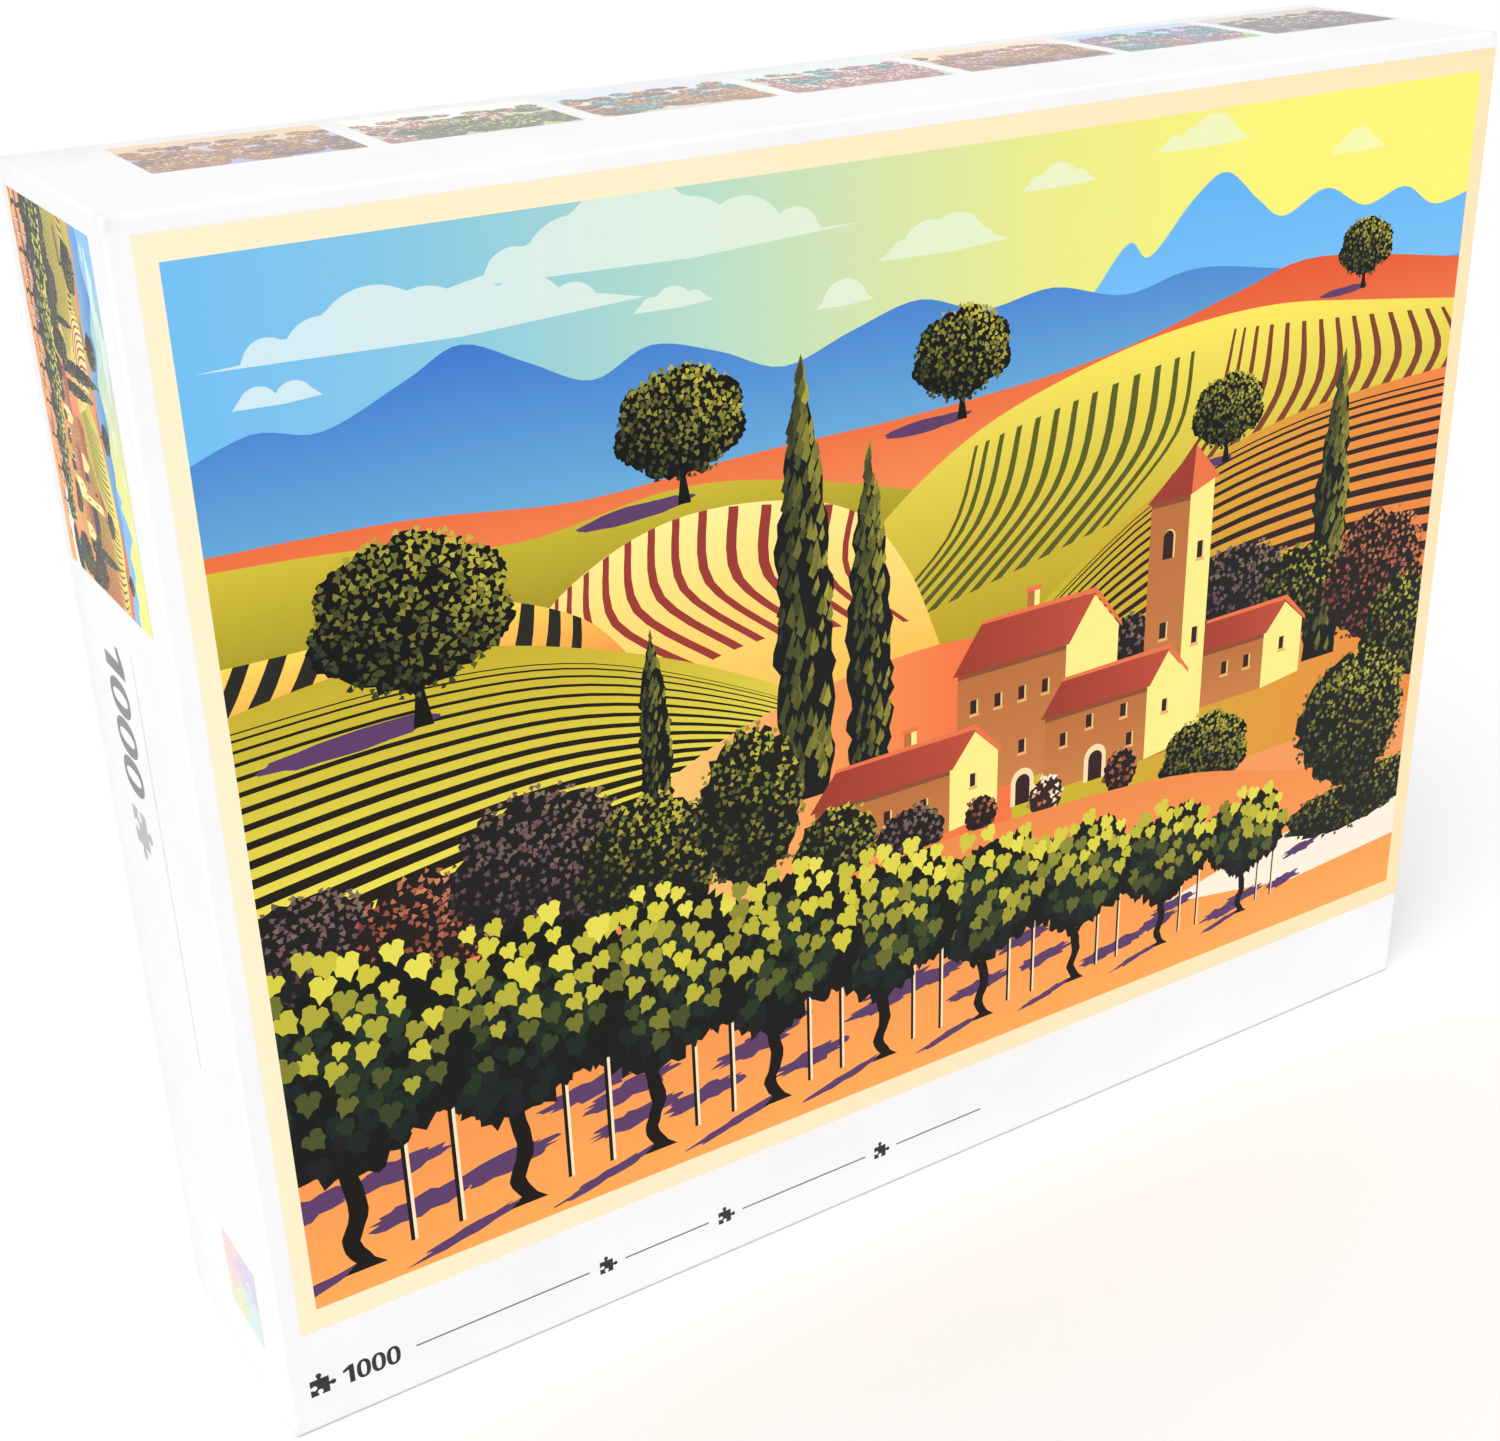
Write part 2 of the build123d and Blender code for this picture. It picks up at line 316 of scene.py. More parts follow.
def shell_profile(depth):
    """(inset, distance from the closed face) from the middle of that face, over its edge, down the wall,
    round the rim and in to the end of the paper's turn-in."""
    steps = 5
    profile = [(inset * MM, 0.0) for inset in (40, *reversed(DEPTH_STEPS))]
    for step in range(steps + 1):
        angle = math.pi / 2 * step / steps
        profile.append((EDGE_RADIUS * (1 - math.sin(angle)), EDGE_RADIUS * (1 - math.cos(angle))))
    profile += [(0.0, down * MM) for down in (*DEPTH_STEPS, 45)]
    rim = WALL / 2
    for step in range(2 * steps + 1):
        angle = math.pi * step / (2 * steps)
        profile.append((rim * (1 - math.cos(angle)), depth - rim + rim * math.sin(angle)))
    return profile + [(WALL, depth - TURN_IN), (WALL - PAPER, depth - TURN_IN)]


def wear_at(depth, from_x, from_z, full_depth):
    """How worn the paper is: most on a corner of the box, less along an edge, and nothing on a flat face."""
    near = sorted((from_x, from_z, depth))
    rim = max(0.0, 1 - abs(full_depth - depth) / RIM_REACH)
    edge = max(0.0, 1 - (near[0] + near[1]) / EDGE_REACH)
    corner = max(0.0, 1 - sum(near) / CORNER_REACH)
    return EDGE_WEAR * edge + RIM_WEAR * rim + CORNER_WEAR * corner


def wrapped_shell(name, low, high, front, white, body, node):
    """The paper of the lid or the tray. Its closed face looks along -Y if front is -1, +Y if it is 1."""
    centre = (low + high) / 2
    half_x, half_z = (high.x - low.x) / 2, (high.z - low.z) / 2
    face = low.y if front < 0 else high.y
    full_depth = high.y - low.y
    points, worn = [], []
    for inset, depth in shell_profile(full_depth):
        ring = rounded_ring(half_x - inset, half_z - inset, max(EDGE_RADIUS - inset, 0.0))
        points += [(centre.x + at.x, face - front * depth, centre.z + at.y) for at in ring]
        worn += [wear_at(depth, half_x - abs(at.x), half_z - abs(at.y), full_depth) for at in ring]
    count = len(ring)
    faces = [tuple(range(count))]
    for start in range(0, len(points) - count, count):
        faces += band(start, count)
    piece = new_piece(name, points, faces, wrap_paper(name, white), body, [node])
    piece.data.attributes.new("wear", "FLOAT", "POINT").data.foreach_set("value", worn)
    shape = bmesh.new()
    shape.from_mesh(piece.data)
    bmesh.ops.remove_doubles(shape, verts=shape.verts, dist=SAME_POINT)
    bmesh.ops.recalc_face_normals(shape, faces=shape.faces)
    shape.to_mesh(piece.data)
    shape.free()
    smooth(piece.data, sharpest=40)


def add_wraps():
    wrapped_shell("lid_paper", LID_LOW, LID_HIGH, -1, (247, 247, 248), "lid", "lid_wrap")
    wrapped_shell("tray_paper", TRAY_LOW, TRAY_HIGH, 1, (243, 243, 243), "tray", "tray_wrap")


# ---- drawing on the paper

INK_LIFT = 0.03 * MM  # how far the ink stands off the paper
WHITE = (255, 255, 255)
KEEP_INSIDE = 1  # drops the triangles that lie outside every outline
MERGE_WITHIN = 1e-4  # millimetres
OVERSHOOT = 0.3  # how far a change of colour goes on past its two ends
FAR_CROWDING = 1.35  # the farther a furrow is, the closer it lies to the next


class Picture:
    """Flat shapes laid over one another from back to front, then cut into one sheet of coloured faces."""

    def __init__(self, seed=0, leaves=1.0, painted_glare=0.0):
        self.shapes = []
        self.creases = []  # lines along which the sheet is cut, so that it can bend there
        self.inside = None  # the shape that holds the next ones in
        self.chance = random.Random(seed)
        self.leaves = leaves  # the share of its leaves that is drawn
        # painted glare: colours are lightened towards white for the washed-out look that light on a panel
        # gives
        self.painted_glare = painted_glare  # how far every colour is lightened
        self.move()

    def move(self, x=0, y=0, wide=1, tall=1):
        """Says where the next shapes' own origin lies, and how large they are drawn."""
        self.place = Matrix(((wide, 0, x), (0, tall, y), (0, 0, 1)))

    def lay(self, outline, colour, inside=None):
        """Adds a shape on top. colour is (r, g, b), a function of x and y, or None for bare paper. Returns
        the shape's number, which inside takes."""
        points = [(self.place @ Vector((x, y, 1))).xy for x, y in outline]
        if sum(a.x * b.y - b.x * a.y for a, b in zip(points, points[1:] + points[:1])) < 0:
            points.reverse()
        holder = self.inside if inside is None else inside
        self.shapes.append((points, colour, holder, self.place.inverted()))
        return len(self.shapes) - 1

    def shows(self, number, stack):
        """True if a shape and all that hold it in are there."""
        while number is not None and number in stack:
            number = self.shapes[number][2]
        return number is None

    def cut(self):
        """Returns the sheet's points, its triangles and the colour at each of their corners."""
        corners, outlines = [], []
        for points, _, _, _ in self.shapes:
            outlines.append(list(range(len(corners), len(corners) + len(points))))
            corners += points
        first = len(corners)
        corners += [Vector(end) for crease in self.creases for end in crease]
        creases = [(first + 2 * number, first + 2 * number + 1) for number in range(len(self.creases))]
        points, _, triangles, _, _, owners = delaunay_2d_cdt(corners, creases, outlines, KEEP_INSIDE,
                                                             MERGE_WITHIN, True)
        kept, colours = [], []
        for triangle, stack in zip(triangles, owners):
            top = next((number for number in sorted(stack, reverse=True) if self.shows(number, stack)), None)
            if top is None or self.shapes[top][1] is None:
                continue
            _, colour, _, back = self.shapes[top]
            kept.append(tuple(triangle))
            for corner in triangle:
                x, y, _ = back @ Vector((*points[corner], 1))
                shade = colour(x, y) if callable(colour) else colour
                # each colour is lightened towards white by the painted glare
                colours.append(linear(mix(shade, WHITE, self.painted_glare)))
        return points, kept, colours

    def make(self, name, to_space, material, body="lid", replaces=()):
        """Makes the picture a piece. to_space says where one of its points lies."""
        flat, triangles, colours = self.cut()
        used = sorted({corner for triangle in triangles for corner in triangle})
        number = {corner: place for place, corner in enumerate(used)}
        points = [to_space(*flat[corner]) for corner in used]
        faces = [tuple(number[corner] for corner in triangle) for triangle in triangles]
        return new_piece(name, points, faces, material, body, replaces, colours, smooth_angle=60)


def rectangle(left, bottom, right, top):
    return [(left, bottom), (right, bottom), (right, top), (left, top)]


def mix(first, second, share):
    return tuple(a + (b - a) * share for a, b in zip(first, second))


def shaded(start, start_colour, end, end_colour, axis=1):
    """A colour that changes upwards from start to end, or to the right where axis is 0."""
    def colour(*at):
        share = (at[axis] - start) / (end - start)
        return mix(start_colour, end_colour, min(1 + OVERSHOOT, max(-OVERSHOOT, share)))

    return colour


def curve(points, steps=6):
    """A smooth line through the points."""
    line = []
    padded = [points[0], *points, points[-1]]
    for corners in zip(padded, padded[1:], padded[2:], padded[3:]):
        for step in range(steps):
            t = step / steps
            line.append(tuple(0.5 * (2 * b + (c - a) * t + (2 * a - 5 * b + 4 * c - d) * t * t
                                     + (3 * b - a - 3 * c + d) * t ** 3) for a, b, c, d in zip(*corners)))
    return line + [points[-1]]


def land(crest, foot):
    """The outline of everything under a smooth crest, down to the height foot."""
    line = curve(crest)
    return line + [(line[-1][0], foot), (line[0][0], foot)]


def along(line, share):
    """The point at that share of the way along a line."""
    place = min(max(share, 0.0), 0.9999) * (len(line) - 1)
    start = int(place)
    return mix(line[start], line[start + 1], place - start)


def rows(picture, far, near, count, share, bow, colour, field):
    """Planted rows that run from the line far to the line near. share is the row's part of the pitch, at each
    end, and bow is how far it bends to the right on its way."""
    far, near = curve(far), curve(near)
    for row in range(count):
        sides = []
        for far_at, near_at in ((row, row), (row + share[0], row + share[1])):
            start, end = along(far, far_at / count), along(near, near_at / count)
            middle = mix(start, end, 0.5)
            sides.append(curve([start, (middle[0] + bow, middle[1]), end], 5))
        picture.lay(sides[0] + sides[1][::-1], colour, field)


def furrows(picture, upper, lower, count, share, colour, field):
    """Furrows that lie across the view, from an upper to a lower line, with share of the pitch at each."""
    upper, lower = curve(upper), curve(lower)
    for row in range(count):
        done, following = (row / count) ** FAR_CROWDING, ((row + 1) / count) ** FAR_CROWDING
        width = (following - done) * (share[0] + (share[1] - share[0]) * done)
        edges = [[mix(above, below, place) for above, below in zip(upper, lower)]
                 for place in (done, done + width)]
        picture.lay(edges[0] + edges[1][::-1], colour, field)


def cloud(picture, left, bottom, width, humps, colour):
    """A cloud with a flat foot and round humps."""
    circles = []
    for hump in range(humps):
        share = (hump + 0.5) / humps
        radius = width / humps * picture.chance.uniform(0.55, 0.95) * (0.55 + math.sin(math.pi * share))
        circles.append((left + width * share, min(radius, 1.12 * width * min(share, 1 - share))))
    outline = [(left - width * 0.12, bottom)]
    steps = humps * 9
    for step in range(steps + 1):
        x = left + width * step / steps
        heights = [math.sqrt(radius ** 2 - (x - middle) ** 2) for middle, radius in circles
                   if abs(x - middle) < radius]
        outline.append((x, bottom + 0.35 + 0.9 * max(heights, default=0.0)))
    foot = [(left + width * 1.15, bottom + 0.2), (left + width * 0.6, bottom - width * 0.02)]
    picture.lay(outline + foot, colour)


def ragged(picture, x, y, half_width, half_height, corners=22, rough=0.18, lean=0.0):
    """The outline of a patch with an uneven edge, such as a shadow on the ground or a mass of leaves."""
    outline = []
    for corner in range(corners):
        angle = 2 * math.pi * (corner + picture.chance.uniform(-0.2, 0.2)) / corners
        reach = 1 - rough * picture.chance.random()
        right = half_width * reach * math.cos(angle)
        outline.append((x + right, y + half_height * reach * math.sin(angle) + lean * right))
    return outline


def fleck(x, y, size, lean):
    """A small dab with three points for a far leaf."""
    return [(x + size * reach * math.cos(lean + turn), y + size * reach * math.sin(lean + turn))
            for turn, reach in ((0, 1.15), (1.1, 0.55), (2.2, 0.95), (3.6, 0.7), (4.7, 0.9), (5.6, 0.5))]


HALF_LEAF = ((0, 1.42), (24, 0.90), (50, 1.0), (74, 0.80), (106, 1.02), (138, 0.90), (164, 0.74), (180, 0.36))
VINE_LEAF = HALF_LEAF + tuple((-turn, reach) for turn, reach in HALF_LEAF[-2:0:-1])


def vine_leaf(x, y, size, lean):
    """A leaf with five points, hanging about point down."""
    tip = -math.pi / 2 + 0.2 * (lean - math.pi)
    return [(x + size * reach * math.cos(tip + math.radians(turn)),
             y + size * reach * math.sin(tip + math.radians(turn))) for turn, reach in VINE_LEAF]


def scatter(picture, x, y, half_width, half_height, tries, size, shades, leaf=fleck, apart=0.0):
    """Leaves over a mass. shades run from the dark side, low on the left, to the lit side, and apart is the
    least distance between two leaves, in leaf sizes."""
    chance = picture.chance
    placed = []
    for _ in range(round(tries * picture.leaves)):
        angle = chance.uniform(0, 2 * math.pi)
        reach = math.sqrt(chance.random())
        right, up = reach * math.cos(angle), reach * math.sin(angle)
        light = 0.5 + 0.22 * right + 0.38 * up + chance.uniform(-0.25, 0.25)
        at = (x + half_width * right, y + half_height * up)
        if chance.random() > 0.25 + 0.9 * light:
            continue
        if any(math.dist(at, other) < apart * size for other in placed):
            continue
        placed.append(at)
        outline = leaf(*at, size * chance.uniform(0.75, 1.2), chance.uniform(0, 2 * math.pi))
        picture.lay(outline, along(shades, light))


DARK = (9, 12, 9)
SHADOW = (92, 60, 104)
OLIVE = ((36, 42, 30), (72, 76, 36), (132, 128, 50), (196, 184, 66))
HEATHER = ((50, 42, 48), (88, 66, 80), (116, 88, 86), (136, 116, 88))
RUST = ((66, 38, 36), (126, 66, 54), (176, 98, 72), (206, 136, 90))
BLOSSOM = ((120, 60, 60), (236, 150, 110), (250, 226, 190), (255, 250, 226))
GRAPE = ((30, 48, 28), (58, 70, 34), (110, 112, 42), (182, 176, 56), (214, 204, 62), (232, 222, 84))


def tree(picture, x, foot, radius):
    """A round field tree with its shadow on the ground to its left."""
    middle = foot + 1.15 * radius
    shade = ragged(picture, x - 0.75 * radius, foot - 0.02 * radius, radius, 0.13 * radius, lean=0.06)
    picture.lay(shade, SHADOW)
    trunk = ((-0.10, -0.05), (0.12, -0.05), (0.05, 0.35), (0.35, 0.75), (0, 0.5), (-0.4, 0.75), (-0.05, 0.3))
    picture.lay([(x + right * radius, foot + up * radius) for right, up in trunk], DARK)
    masses = ((0, 0, 0.97), (-0.62, -0.18, 0.42), (0.60, -0.22, 0.44), (0.1, 0.52, 0.45), (-0.5, 0.34, 0.42),
              (0.58, 0.25, 0.42))
    wide, tall = 1.06 * radius, 0.88 * radius
    for right, up, size in masses:
        mass = ragged(picture, x + right * wide, middle + up * tall, size * wide, size * tall, 60, 0.13)
        picture.lay(mass, DARK)
    leaf_size = 0.030 * radius + 0.38
    scatter(picture, x, middle, 1.03 * radius, 0.86 * radius, 60 * radius, leaf_size, OLIVE, apart=1.15)


def cypress(picture, x, foot, height, half_width):
    """A tall dark tree like a flame."""
    chance = picture.chance
    sides = []
    for side in (1, -1):
        steps = 34
        line = []
        for step in range(steps + 1):
            share = step / steps
            girth = half_width * (0.75 + 0.45 * share - 1.2 * share ** 3) * (1 - 0.30 * chance.random())
            line.append((x + side * max(girth, 0.1), foot + height * share))
        sides.append(line)
    picture.lay(sides[0] + sides[1][::-1], (16, 20, 20))
    for _ in range(round(1.9 * height * picture.leaves)):
        share = chance.random() ** 0.8
        girth = half_width * (0.7 + 0.4 * share - 1.1 * share ** 3)
        right = chance.uniform(-0.8, 0.9)
        left, low = x + girth * right, foot + height * share
        size = 0.11 * half_width * chance.uniform(0.7, 1.3)
        shade = along(OLIVE, 0.15 + 0.35 * (right + 0.8) + chance.uniform(-0.15, 0.15))
        picture.lay([(left - size, low), (left, low - size), (left + 0.8 * size, low + 0.6 * size),
                     (left + 0.3 * size, low + 3.2 * size)], shade)


def bush(picture, x, y, half_width, half_height, shades, size=0.9, gloom=0.6):
    """A low mass of leaves, with gloom between them."""
    picture.lay(ragged(picture, x, y, half_width, half_height, 56, 0.15), mix(shades[0], DARK, gloom))
    tries = 1.1 * half_width * half_height / size ** 2
    scatter(picture, x, y, 1.01 * half_width, half_height, tries, size, shades, apart=1.1)


def bushes(picture, places):
    for place in places:
        bush(picture, *place)


# ---- the landscape on the lid

ART_WIDTH, ART_HEIGHT = 341.5, 237.1
SKY = ((0, (114, 190, 242)), (40, (130, 197, 230)), (80, (158, 209, 212)), (115, (186, 221, 198)),
       (150, (210, 226, 172)), (200, (233, 234, 138)), (262, (248, 242, 120)), (ART_WIDTH, (252, 243, 116)))
CLOUDS = ((12, 216, 74, 7), (62, 224, 78, 6), (96, 213, 15, 3), (140, 207, 12, 3), (158, 215, 28, 4),
          (196, 225, 17, 3), (236, 229, 24, 4), (292, 222, 15, 3), (11, 208, 14, 2))


def sky(picture):
    for (left, left_colour), (right, right_colour) in zip(SKY, SKY[1:]):
        colour = shaded(left, left_colour, right, right_colour, 0)
        picture.lay(rectangle(left, 150, right, ART_HEIGHT), colour)
    haze = shaded(0, (206, 232, 246), 300, (246, 246, 176), 0)
    for left, bottom, width, humps in CLOUDS:
        cloud(picture, left, bottom, width, humps, haze)


def mountains(picture):
    far = [(198, 186), (214, 197), (226, 209), (233, 205), (246, 217), (256, 222), (267, 214), (276, 209),
           (290, 214), (304, 208), (318, 211), (330, 205), (346, 208)]
    picture.lay(land(far, 150), shaded(180, (124, 196, 246), 222, (98, 178, 244)))
    near = [(-5, 197), (12, 203), (26, 201), (44, 208), (56, 213), (70, 207), (84, 201), (98, 206),
            (114, 202), (130, 196), (148, 201), (166, 205), (184, 200), (204, 202), (226, 197), (250, 200),
            (290, 194), (346, 190)]
    picture.lay(land(near, 150), shaded(172, (110, 176, 218), 212, (62, 122, 206)))


def far_fields(picture):
    ridge = [(-5, 181), (40, 180), (80, 176), (120, 178), (170, 179), (220, 183), (262, 192), (290, 197),
             (346, 189)]
    picture.lay(land(ridge, 120), shaded(160, (246, 140, 84), 194, (230, 92, 50)))
    olive = [(-5, 178), (30, 176), (64, 170), (104, 174), (140, 168), (178, 156), (210, 140)]
    picture.lay(land(olive, 100), shaded(140, (140, 128, 26), 176, (208, 188, 52)))
    yellow = [(140, 140), (160, 158), (184, 172), (214, 181), (244, 186), (276, 187), (310, 183), (346, 178)]
    hill = picture.lay(land(yellow, 90), shaded(130, (196, 172, 44), 186, (250, 232, 96)))
    rows(picture, [(182, 168), (214, 174), (252, 180)], [(148, 126), (184, 132), (226, 140)], 13, (0.3, 0.5),
         9, (88, 92, 30), hill)
    rows(picture, [(262, 183), (300, 180), (346, 176)], [(236, 140), (290, 150), (346, 156)], 15,
         (0.25, 0.45), 7, (128, 62, 40), hill)
    tree(picture, 178, 176, 13)
    tree(picture, 306, 187, 9)
    tree(picture, 104, 171, 15)
    vineyard = [(58, 142), (76, 158), (100, 167), (128, 166), (150, 158), (163, 142), (171, 124), (177, 108)]
    striped = picture.lay(land(vineyard, 106), shaded(130, (250, 206, 100), 166, (254, 240, 150)))
    rows(picture, [(72, 156), (104, 168), (152, 160)], [(92, 128), (124, 134), (166, 128)], 13, (0.3, 0.42),
         -9, (156, 56, 48), striped)
    orchard = picture.lay(land([(-5, 158), (24, 158), (52, 160), (78, 150), (92, 134)], 110),
                          shaded(138, (246, 150, 70), 160, (254, 226, 96)))
    rows(picture, [(-6, 162), (40, 164), (80, 152)], [(-30, 132), (20, 134), (72, 130)], 13, (0.45, 0.62), 3,
         (38, 36, 30), orchard)


def near_fields(picture):
    crest = [(-5, 147), (26, 151), (56, 149), (92, 138), (122, 124), (152, 106), (170, 90)]
    slope = picture.lay(land(crest, 60), shaded(84, (252, 240, 96), 150, (196, 174, 44)))
    furrows(picture, [(-5, 144), (40, 145), (80, 139), (124, 120), (160, 98)],
            [(-5, 76), (34, 84), (70, 92), (106, 98), (150, 88)], 17, (0.22, 0.78), (26, 20, 10), slope)
    tree(picture, 40, 136, 21)
    glow = [(20, 74), (54, 88), (84, 100), (112, 112), (140, 118), (178, 120), (210, 112)]
    picture.lay(land(glow, 50), shaded(90, (250, 206, 116), 160, (246, 138, 78), 0))
    right = [(196, 118), (226, 138), (258, 151), (296, 158), (346, 160)]
    plough = picture.lay(land(right, 60), shaded(220, (204, 178, 44), 330, (238, 138, 62), 0))
    furrows(picture, [(196, 116), (240, 143), (290, 155), (346, 157)],
            [(210, 96), (250, 106), (300, 108), (346, 104)], 13, (0.3, 0.55), (46, 26, 26), plough)
    tree(picture, 262, 149, 11.5)
    for place in ((94, 96, 46, 5.5), (152, 84, 88, 8.5), (134, 90, 104, 10.5), (302, 84, 84, 9)):
        cypress(picture, *place)


WALL_SHADE, WALL_GLOW, WALL_LIT = (186, 112, 58), (204, 128, 70), (252, 238, 140)
ROOF_SHADE, ROOF_WARM, ROOF_LIT = (158, 58, 44), (186, 74, 54), (238, 116, 72)
WINDOW, REVEAL, STONE = (52, 26, 30), (244, 206, 130), (250, 222, 176)
SILL, EAVES_SHADOW = (238, 176, 106), (140, 78, 46)


def arched(x, y, width, height):
    """An opening with a round head that stands on height."""
    radius = width / 2
    turns = [math.pi * step / 8 for step in range(9)]
    head = [(x + radius + radius * math.cos(turn), y + height + radius * math.sin(turn)) for turn in turns]
    return [(x, y), (x + width, y), *head]


def window(picture, x, y, width=1.9, height=3.6):
    """A dark window with a lit reveal on its right and a pale sill."""
    picture.lay(rectangle(x - 0.3, y - 0.9, x + width + 0.8, y - 0.1), SILL)
    picture.lay(rectangle(x, y, x + width, y + height), WINDOW)
    picture.lay(rectangle(x + width, y, x + width + 0.5, y + height), REVEAL)


def building(picture, left, foot, width, height, side, roof, windows):
    """A gabled house: its lit end wall on the right, its shaded front, a roof, and windows with their feet at
    the places given."""
    right, eaves = left + width, foot + height
    rise = 0.12 * side
    ridge, ridge_left, ridge_right = eaves + roof, left + side / 2 - 1.5, right + side / 2
    far_eaves = eaves + rise * 0.4
    picture.lay([(right, foot), (right + side, foot + rise), (right + side, far_eaves), (ridge_right, ridge),
                 (right, eaves)], WALL_LIT)
    picture.lay(rectangle(left, foot, right, eaves), shaded(foot, WALL_GLOW, eaves, WALL_SHADE))
    picture.lay(rectangle(left, eaves - 2.0, right, eaves - 0.8), EAVES_SHADOW)
    picture.lay([(left - 1.5, eaves - 0.8), (right + 0.8, eaves - 0.8), (ridge_right + 0.6, ridge + 0.4),
                 (ridge_left, ridge + 0.4)], shaded(left, ROOF_SHADE, right, ROOF_WARM, 0))
    picture.lay([(ridge_right, ridge + 0.5), (right + side + 1.2, far_eaves - 0.9),
                 (right + side + 1.0, far_eaves + 0.5), (ridge_right + 0.6, ridge + 1.8),
                 (ridge_left, ridge + 1.2), (ridge_left, ridge + 0.3)], ROOF_LIT)
    for x, y in windows:
        window(picture, x, y)
    window(picture, right + side * 0.42, foot + rise + height * 0.5, 1.6)


def chimney(picture, x, top):
    picture.lay(rectangle(x, top - 9, x + 2.2, top), WALL_SHADE)
    picture.lay(rectangle(x + 2.2, top - 9, x + 3.8, top), WALL_LIT)
    picture.lay(rectangle(x - 0.5, top, x + 4.3, top + 1.2), ROOF_LIT)


def tower(picture, left, foot, width, height, side, roof):
    """A square tower with a pointed roof, an arched opening under its eaves and slits below."""
    right, eaves = left + width, foot + height
    edge = right + side
    point = (right + 1, eaves + roof)
    picture.lay([(right, foot), (edge, foot + 4), (edge, eaves + 3), (right, eaves)], WALL_LIT)
    picture.lay(rectangle(left, foot, right, eaves), shaded(foot, WALL_GLOW, eaves, WALL_SHADE))
    picture.lay(rectangle(left, eaves - 2.4, right, eaves - 1), EAVES_SHADOW)
    picture.lay([(left - 1.5, eaves - 1), (right + 0.4, eaves - 1), point], ROOF_SHADE)
    picture.lay([(right + 0.2, eaves - 1), (edge + 1.5, eaves + 2.5), point], ROOF_LIT)
    picture.lay(arched(left + 4.6, eaves - 17, 4, 6), REVEAL)
    picture.lay(arched(left + 4.6, eaves - 17, 3.4, 6), WINDOW)
    window(picture, left + 5, eaves - 39, 2.2, 4.4)
    for down in (19, 43):
        window(picture, right + 3.4, eaves - down, 1.8, 4.6)


def farmhouse(picture):
    """A farm of four joined buildings, with a square tower at its right."""
    building(picture, 254, 80, 27, 17, 14, 7, ((266, 88), (274, 88)))
    tower(picture, 238, 70, 13, 73, 8, 12)
    chimney(picture, 199, 127.5)
    building(picture, 178, 76, 34, 35, 17, 11, ((182, 99), (189.5, 99), (197, 99), (204.5, 99), (197.5, 84)))
    building(picture, 206, 70, 34, 22, 13, 8, ((211, 82), (219.5, 85), (231, 85), (233.5, 76)))
    chimney(picture, 162, 99)
    building(picture, 136, 68, 40, 18, 15, 8, ((145, 76), (156, 76), (167, 76)))
    for left in (196, 220):
        picture.lay(arched(left - 0.6, 69, 7.4, 6.6), STONE)
        picture.lay(arched(left + 0.9, 69, 4.6, 6.2), WINDOW)


BEHIND_THE_FARM = (
    (10, 90, 18, 15, HEATHER), (36, 87, 17, 15, RUST), (64, 94, 23, 20, HEATHER), (91, 85, 19, 19, OLIVE),
    (118, 92, 15, 22, OLIVE), (232, 106, 9, 8, HEATHER), (270, 112, 20, 13, HEATHER),
    (292, 106, 14, 14, OLIVE), (322, 104, 20, 20, RUST), (334, 84, 16, 18, OLIVE))
BEFORE_THE_FARM = (
    (142, 74, 13, 12, OLIVE), (164, 70, 11, 9, HEATHER), (186, 70, 5.5, 5.5, RUST), (207, 69, 6, 6, BLOSSOM),
    (232, 69, 6, 7, RUST), (318, 62, 22, 21, OLIVE))
BY_THE_ROAD = ((318, 32, 24, 8, OLIVE), (338, 36, 24, 8, OLIVE), (320, 58, 20, 20, OLIVE))
SOIL_SHADOWS, VINES = 26, 9  # how many there are
UNDERGROWTH = ((26, 22, 32), (20, 36, 30), (34, 52, 32))


def vine(picture, x, foot, scale):
    """One trained vine: a bent trunk, two stakes and a crown of leaves."""
    chance = picture.chance
    crown = foot + 46 * scale
    trunk = curve([(2, 0), (-1.5, 7), (1.2, 15), (-0.5, 26)], 4)
    left = [(x + scale * (bark - 2.3 - 0.6 * chance.random()), foot + scale * up) for bark, up in trunk[1:]]
    right = [(x + scale * (bark + 1.6 + 0.6 * chance.random()), foot + scale * up) for bark, up in trunk[1:]]
    picture.lay([(x - 4.5 * scale, foot - 1.2 * scale), *left, *reversed(right),
                 (x + 6 * scale, foot - 1.2 * scale)], (16, 10, 10))
    for stake in (13, 25):
        at = x + stake * scale
        picture.lay(rectangle(at - 1.0 * scale, foot + 1.5, at, crown), (20, 14, 14))
        picture.lay(rectangle(at, foot + 1.5, at + 0.8 * scale, crown), (255, 232, 196))
    masses = ((0, 0, 1), (-16, 4, 0.75), (17, 2, 0.8), (4, 14, 0.85), (-15, 17, 0.6), (14, 18, 0.65))
    for right_by, up_by, size in masses:
        picture.lay(ragged(picture, x + right_by * scale, crown + up_by * scale, 21 * size * scale,
                           24 * size * scale, 60, 0.2), (12, 17, 14))
    leaf = 1.5 + 1.5 * scale
    scatter(picture, x, crown + 3 * scale, 23 * scale, 20 * scale, 150, 0.9 * leaf, UNDERGROWTH,
            vine_leaf, 1.0)
    scatter(picture, x, crown + 13 * scale, 31 * scale, 24 * scale, 330, leaf, GRAPE, vine_leaf, 1.55)


